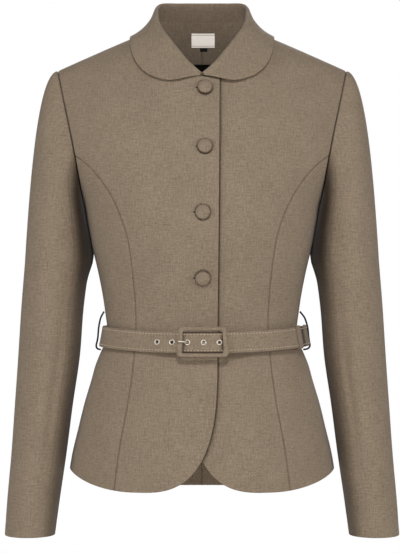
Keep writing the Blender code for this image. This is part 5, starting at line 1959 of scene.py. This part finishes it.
@dataclass(frozen=True)
class NeckFacing:
    """Facing inside the back neck, with a woven label and a size tab on it, both blank."""

    collar: Collar
    share: float = 0.3
    top_z: float = 0.028
    foot_z: float = -0.0291
    inset: float = 1.7 * MM
    cloth: float = 1.0 * MM
    rows: int = 24
    patch_rows: int = 60
    patch_columns: int = 48
    label_x: float = 0.0015
    label_half_width: float = 0.0158
    label_top_z: float = 0.0133
    label_foot_z: float = -0.0062
    tab_x: float = 0.0024
    tab_half_width: float = 0.0051
    tab_foot_z: float = -0.0113
    tab_gap: float = 0.3 * MM
    label_cloth: float = 0.8 * MM
    label_gap: float = 0.3 * MM
    stripe_inset: float = 2.3 * MM
    stripe_reach: float = 0.45 * MM
    stripe_depth: float = 0.85
    # Painted shade over the whole facing, and a painted dark line down its centre below the label
    shade: float = 0.34
    centre_line: float = 0.25
    centre_reach: float = 1.0 * MM

    def plan(self) -> tuple[Array, Array]:
        """Plan of the facing's wall side round the back neck, and the way in from it.

        Returns:
            The line and unit vectors.
        """
        foot, _ = self.collar.neck_edge()
        half = foot[even(len(foot) - 1) <= self.share, :2]
        plan = np.concatenate((half[:0:-1] * MIRROR[:2], half))
        along = unit(np.gradient(plan, axis=0))
        inwards = joined(along[:, 1], -along[:, 0])
        return plan + inwards * self.inset, inwards

    def upright(self, name: str, plan: Array, inwards: Array, heights: Array, wall: float) -> ClothSheet:
        """Cloth that stands upright over a plan, its face turned inwards.

        Args:
            name: Name of the piece.
            plan: Line seen from above.
            inwards: Way in from the line.
            heights: Heights.
            wall: Thickness.

        Returns:
            The cloth.
        """
        z = heights[:, None]
        face, normal = joined(*(plan + inwards * wall).T, z), joined(*inwards.T, np.zeros_like(z))
        return ClothSheet(name, face, normal, wall, (Edge.FOLD,) * 4)

    def patch(self, name: str, middle_x: float, half_width: float, top_z: float, foot_z: float) -> ClothSheet:
        """Small flat piece on the facing between two heights.

        Args:
            name: Name of the piece.
            middle_x: Place of its middle.
            half_width: Half of its width.
            top_z: Height of its top.
            foot_z: Height of its foot.

        Returns:
            The cloth.
        """
        plan, inwards = self.plan()
        face = plan + inwards * self.cloth
        x = np.linspace(middle_x - half_width, middle_x + half_width, self.patch_columns + 1)
        seat = joined(x, np.interp(x, face[:, 0], face[:, 1]) - self.label_gap)
        ahead = np.broadcast_to((0.0, -1.0), seat.shape)
        heights = np.linspace(top_z, foot_z, self.patch_rows + 1)
        return self.upright(name, seat, ahead, heights, self.label_cloth)

    def build(self, finishes: Finishes) -> None:
        """Make the facing, the label with its two border stripes, and the tab.

        Args:
            finishes: The jacket's materials.
        """
        plan, inwards = self.plan()
        heights = np.linspace(self.top_z, self.foot_z, self.rows + 1)
        facing = self.upright("back_facing", plan, inwards, heights, self.cloth)
        x, _, z = np.moveaxis(facing.outer, -1, 0)
        facing.lines = self.shade + self.centre_line * bell(x, self.centre_reach) * (z < self.label_foot_z)
        facing.add(finishes.suiting, "suiting", "hung", ("collar",))
        label = self.patch("label", self.label_x, self.label_half_width, self.label_top_z, self.label_foot_z)
        z = label.outer[..., 2]
        from_edge = np.minimum(self.label_top_z - z, z - self.label_foot_z)
        label.lines = self.stripe_depth * bell(from_edge - self.stripe_inset, self.stripe_reach)
        label.add(finishes.label, "label", "laid", ("back_facing",))
        tab_top_z = self.label_foot_z - self.tab_gap
        tab = self.patch("size_tab", self.tab_x, self.tab_half_width, tab_top_z, self.tab_foot_z)
        tab.piece().add(finishes.tape, "lining", "size_tab")


@dataclass(frozen=True)
class BackLining:
    """Lining inside the back, from below the neck to short of the hem."""

    panels: BodyPanels
    cloth: float = 1.0 * MM
    gap: float = 2.6 * MM
    top_drop: float = 0.053
    top_side_drop: float = 0.03
    foot_z: float = -0.565
    side_angle: float = 78 * DEG
    arm_z: float = -0.085
    arm_margin: float = 0.014
    arm_ease: float = 0.05
    rows: int = 130
    columns: int = 80

    def places(self) -> Array:
        """Turns and runs of the lining: below the neck, inside the armholes, short of the hem.

        Returns:
            Grid of turns and runs.
        """
        panels, form = self.panels, self.panels.form
        top_x = float(panels.armhole_x(self.arm_z)) - self.arm_margin
        top_z = float(form.ridge(top_x)) - self.top_side_drop
        z = np.linspace(top_z, self.foot_z, self.rows + 1)
        arm = panels.armhole_x(np.maximum(z, panels.armpit_z)) - self.arm_margin
        below = form.size(z, "half_width") * math.sin(self.side_angle)
        past_arm = ease(z, panels.armpit_z, panels.armpit_z - self.arm_ease)
        right = form.place(np.minimum(arm + past_arm * (below - arm), below), z)
        out = np.linspace(-1.0, 1.0, self.columns + 1)
        centre_z = form.ridge_top - self.top_drop
        top = form.place(out * top_x, centre_z + (top_z - centre_z) * out**2)
        bottom = form.place(out * float(below[-1]), np.full_like(out, self.foot_z))
        left = right * (-1.0, 1.0)
        top[0], top[-1], bottom[0], bottom[-1] = left[0], right[0], left[-1], right[-1]
        return coons(top, bottom, left, right)

    def build(self, finish: Material) -> None:
        """Make the lining, its face turned inwards.

        Args:
            finish: Material of the pieces.
        """
        places, form = self.places(), self.panels.form
        normal = form.normal(places, Face.BACK)
        face = form.point(places, Face.BACK) - normal * (self.panels.cloth + self.gap + self.cloth)
        lining = ClothSheet("lining_back", face, -normal, self.cloth, (Edge.FOLD,) * 4)
        lining.add(finish, "lining", "hung", ("back_left", "back_right"))


# Studio


class Softbox(NamedTuple):
    """Square area light aimed at the jacket."""

    name: str
    place: tuple[float, float, float]
    side: float
    watts: float


@dataclass(frozen=True)
class Studio:
    """Pale floor, white surround, soft lights and the camera at the photograph's angle."""

    distance: float = 3.0
    eye_x: float = -0.0027
    eye_z: float = -0.3193
    view_height: float = 0.7466
    sensor: float = 36.0
    floor_z: float = -1.05
    floor_radius: float = 2.4
    floor_sides: int = 96
    floor_colour: str = "#F2F0ED"
    floor_patch: float = 1 / 3
    floor_roughness: tuple[float, float] = (0.7, 0.85)
    surround: str = "#FFFFFF"
    ambient: float = 0.025
    aim: tuple[float, float, float] = (0.0, 0.0, -0.3)
    lights: tuple[Softbox, ...] = (
        Softbox("softbox_front", (0.05, -2.5, 1.5), 0.6, 34.0),
        Softbox("softbox_low", (0.0, -3.4, -0.35), 1.0, 12.0),
        Softbox("softbox_left", (-2.2, -1.45, 0.2), 1.3, 20.0),
        Softbox("softbox_right", (2.2, -1.45, 0.2), 1.3, 20.0),
        Softbox("softbox_back", (0.3, 2.4, 1.6), 1.4, 45.0),
    )

    def add_floor(self) -> None:
        """Round pale floor below the jacket, one flat face."""
        angles = full_turn(self.floor_sides)
        x, y = self.floor_radius * np.cos(angles), self.floor_radius * np.sin(angles)
        points, face = joined(x, y, self.floor_z), np.arange(self.floor_sides)[None]
        floor = Piece("floor", points, [face], points[:, :2]).plain()
        paint = Mottled("painted_studio_floor", self.floor_colour, self.floor_patch, self.floor_roughness)
        floor.data.materials.append(paint.material())

    def add_world(self) -> None:
        """White surround to the eye, and a weak even light on the jacket."""
        world = bpy.data.worlds.new("studio")
        world.use_nodes = True
        tree = world.node_tree
        tree.nodes.clear()
        seen = add_node(tree, "LightPath")["Is Camera Ray"]
        dim, white = (add_node(tree, "Background", {"Color": linear(self.surround), "Strength": strength})[0]
                      for strength in (self.ambient, 1.0))
        mix = add_node(tree, "MixShader", {0: seen, 1: dim, 2: white})[0]
        add_node(tree, "OutputWorld", {"Surface": mix})
        bpy.context.scene.world = world

    def add_lights(self) -> None:
        """Softboxes that face the middle of the jacket."""
        for box in self.lights:
            data = bpy.data.lights.new(box.name, "AREA")
            data.energy, data.size = box.watts, box.side
            light = bpy.data.objects.new(box.name, data)
            light.location = box.place
            x, y, z = np.subtract(self.aim, box.place)
            light.rotation_euler = (math.atan2(math.hypot(x, y), -z), 0.0, math.atan2(y, x) - math.pi / 2)
            bpy.context.scene.collection.objects.link(light)

    def add_camera(self) -> None:
        """Level camera in front of the jacket, its lens set by the height it sees at the origin."""
        data = bpy.data.cameras.new("camera")
        data.sensor_width = self.sensor
        data.lens = self.sensor * self.distance / self.view_height
        camera = bpy.data.objects.new("camera", data)
        camera.location = (self.eye_x, -self.distance, self.eye_z)
        camera.rotation_euler = (math.pi / 2, 0.0, 0.0)
        bpy.context.scene.collection.objects.link(camera)
        bpy.context.scene.camera = camera

    def build(self) -> None:
        """Set up the whole studio."""
        self.add_floor()
        self.add_world()
        self.add_lights()
        self.add_camera()
        bpy.context.scene.view_settings.view_transform = "Standard"


def main() -> None:
    """Build the jacket piece by piece, then the studio."""
    logging.basicConfig(level=logging.INFO, format="%(name)s: %(message)s")
    finishes = Finishes()
    form = BodyForm()
    buttons, belt = Buttons(form), Belt(form)
    panels = BodyPanels(form, buttons)
    panels.build(finishes.suiting)
    Sleeves(panels).build(finishes.suiting)
    collar = Collar(panels)
    collar.build(finishes.suiting)
    buttons.build(finishes)
    belt.build(finishes)
    Buckle(belt).build(finishes)
    Keeper(belt).build(finishes.suiting)
    ThreadLoops(form).build(finishes.loop)
    NeckFacing(collar).build(finishes)
    BackLining(panels).build(finishes.lining)
    Studio().build()


if __name__ == "__main__":
    main()
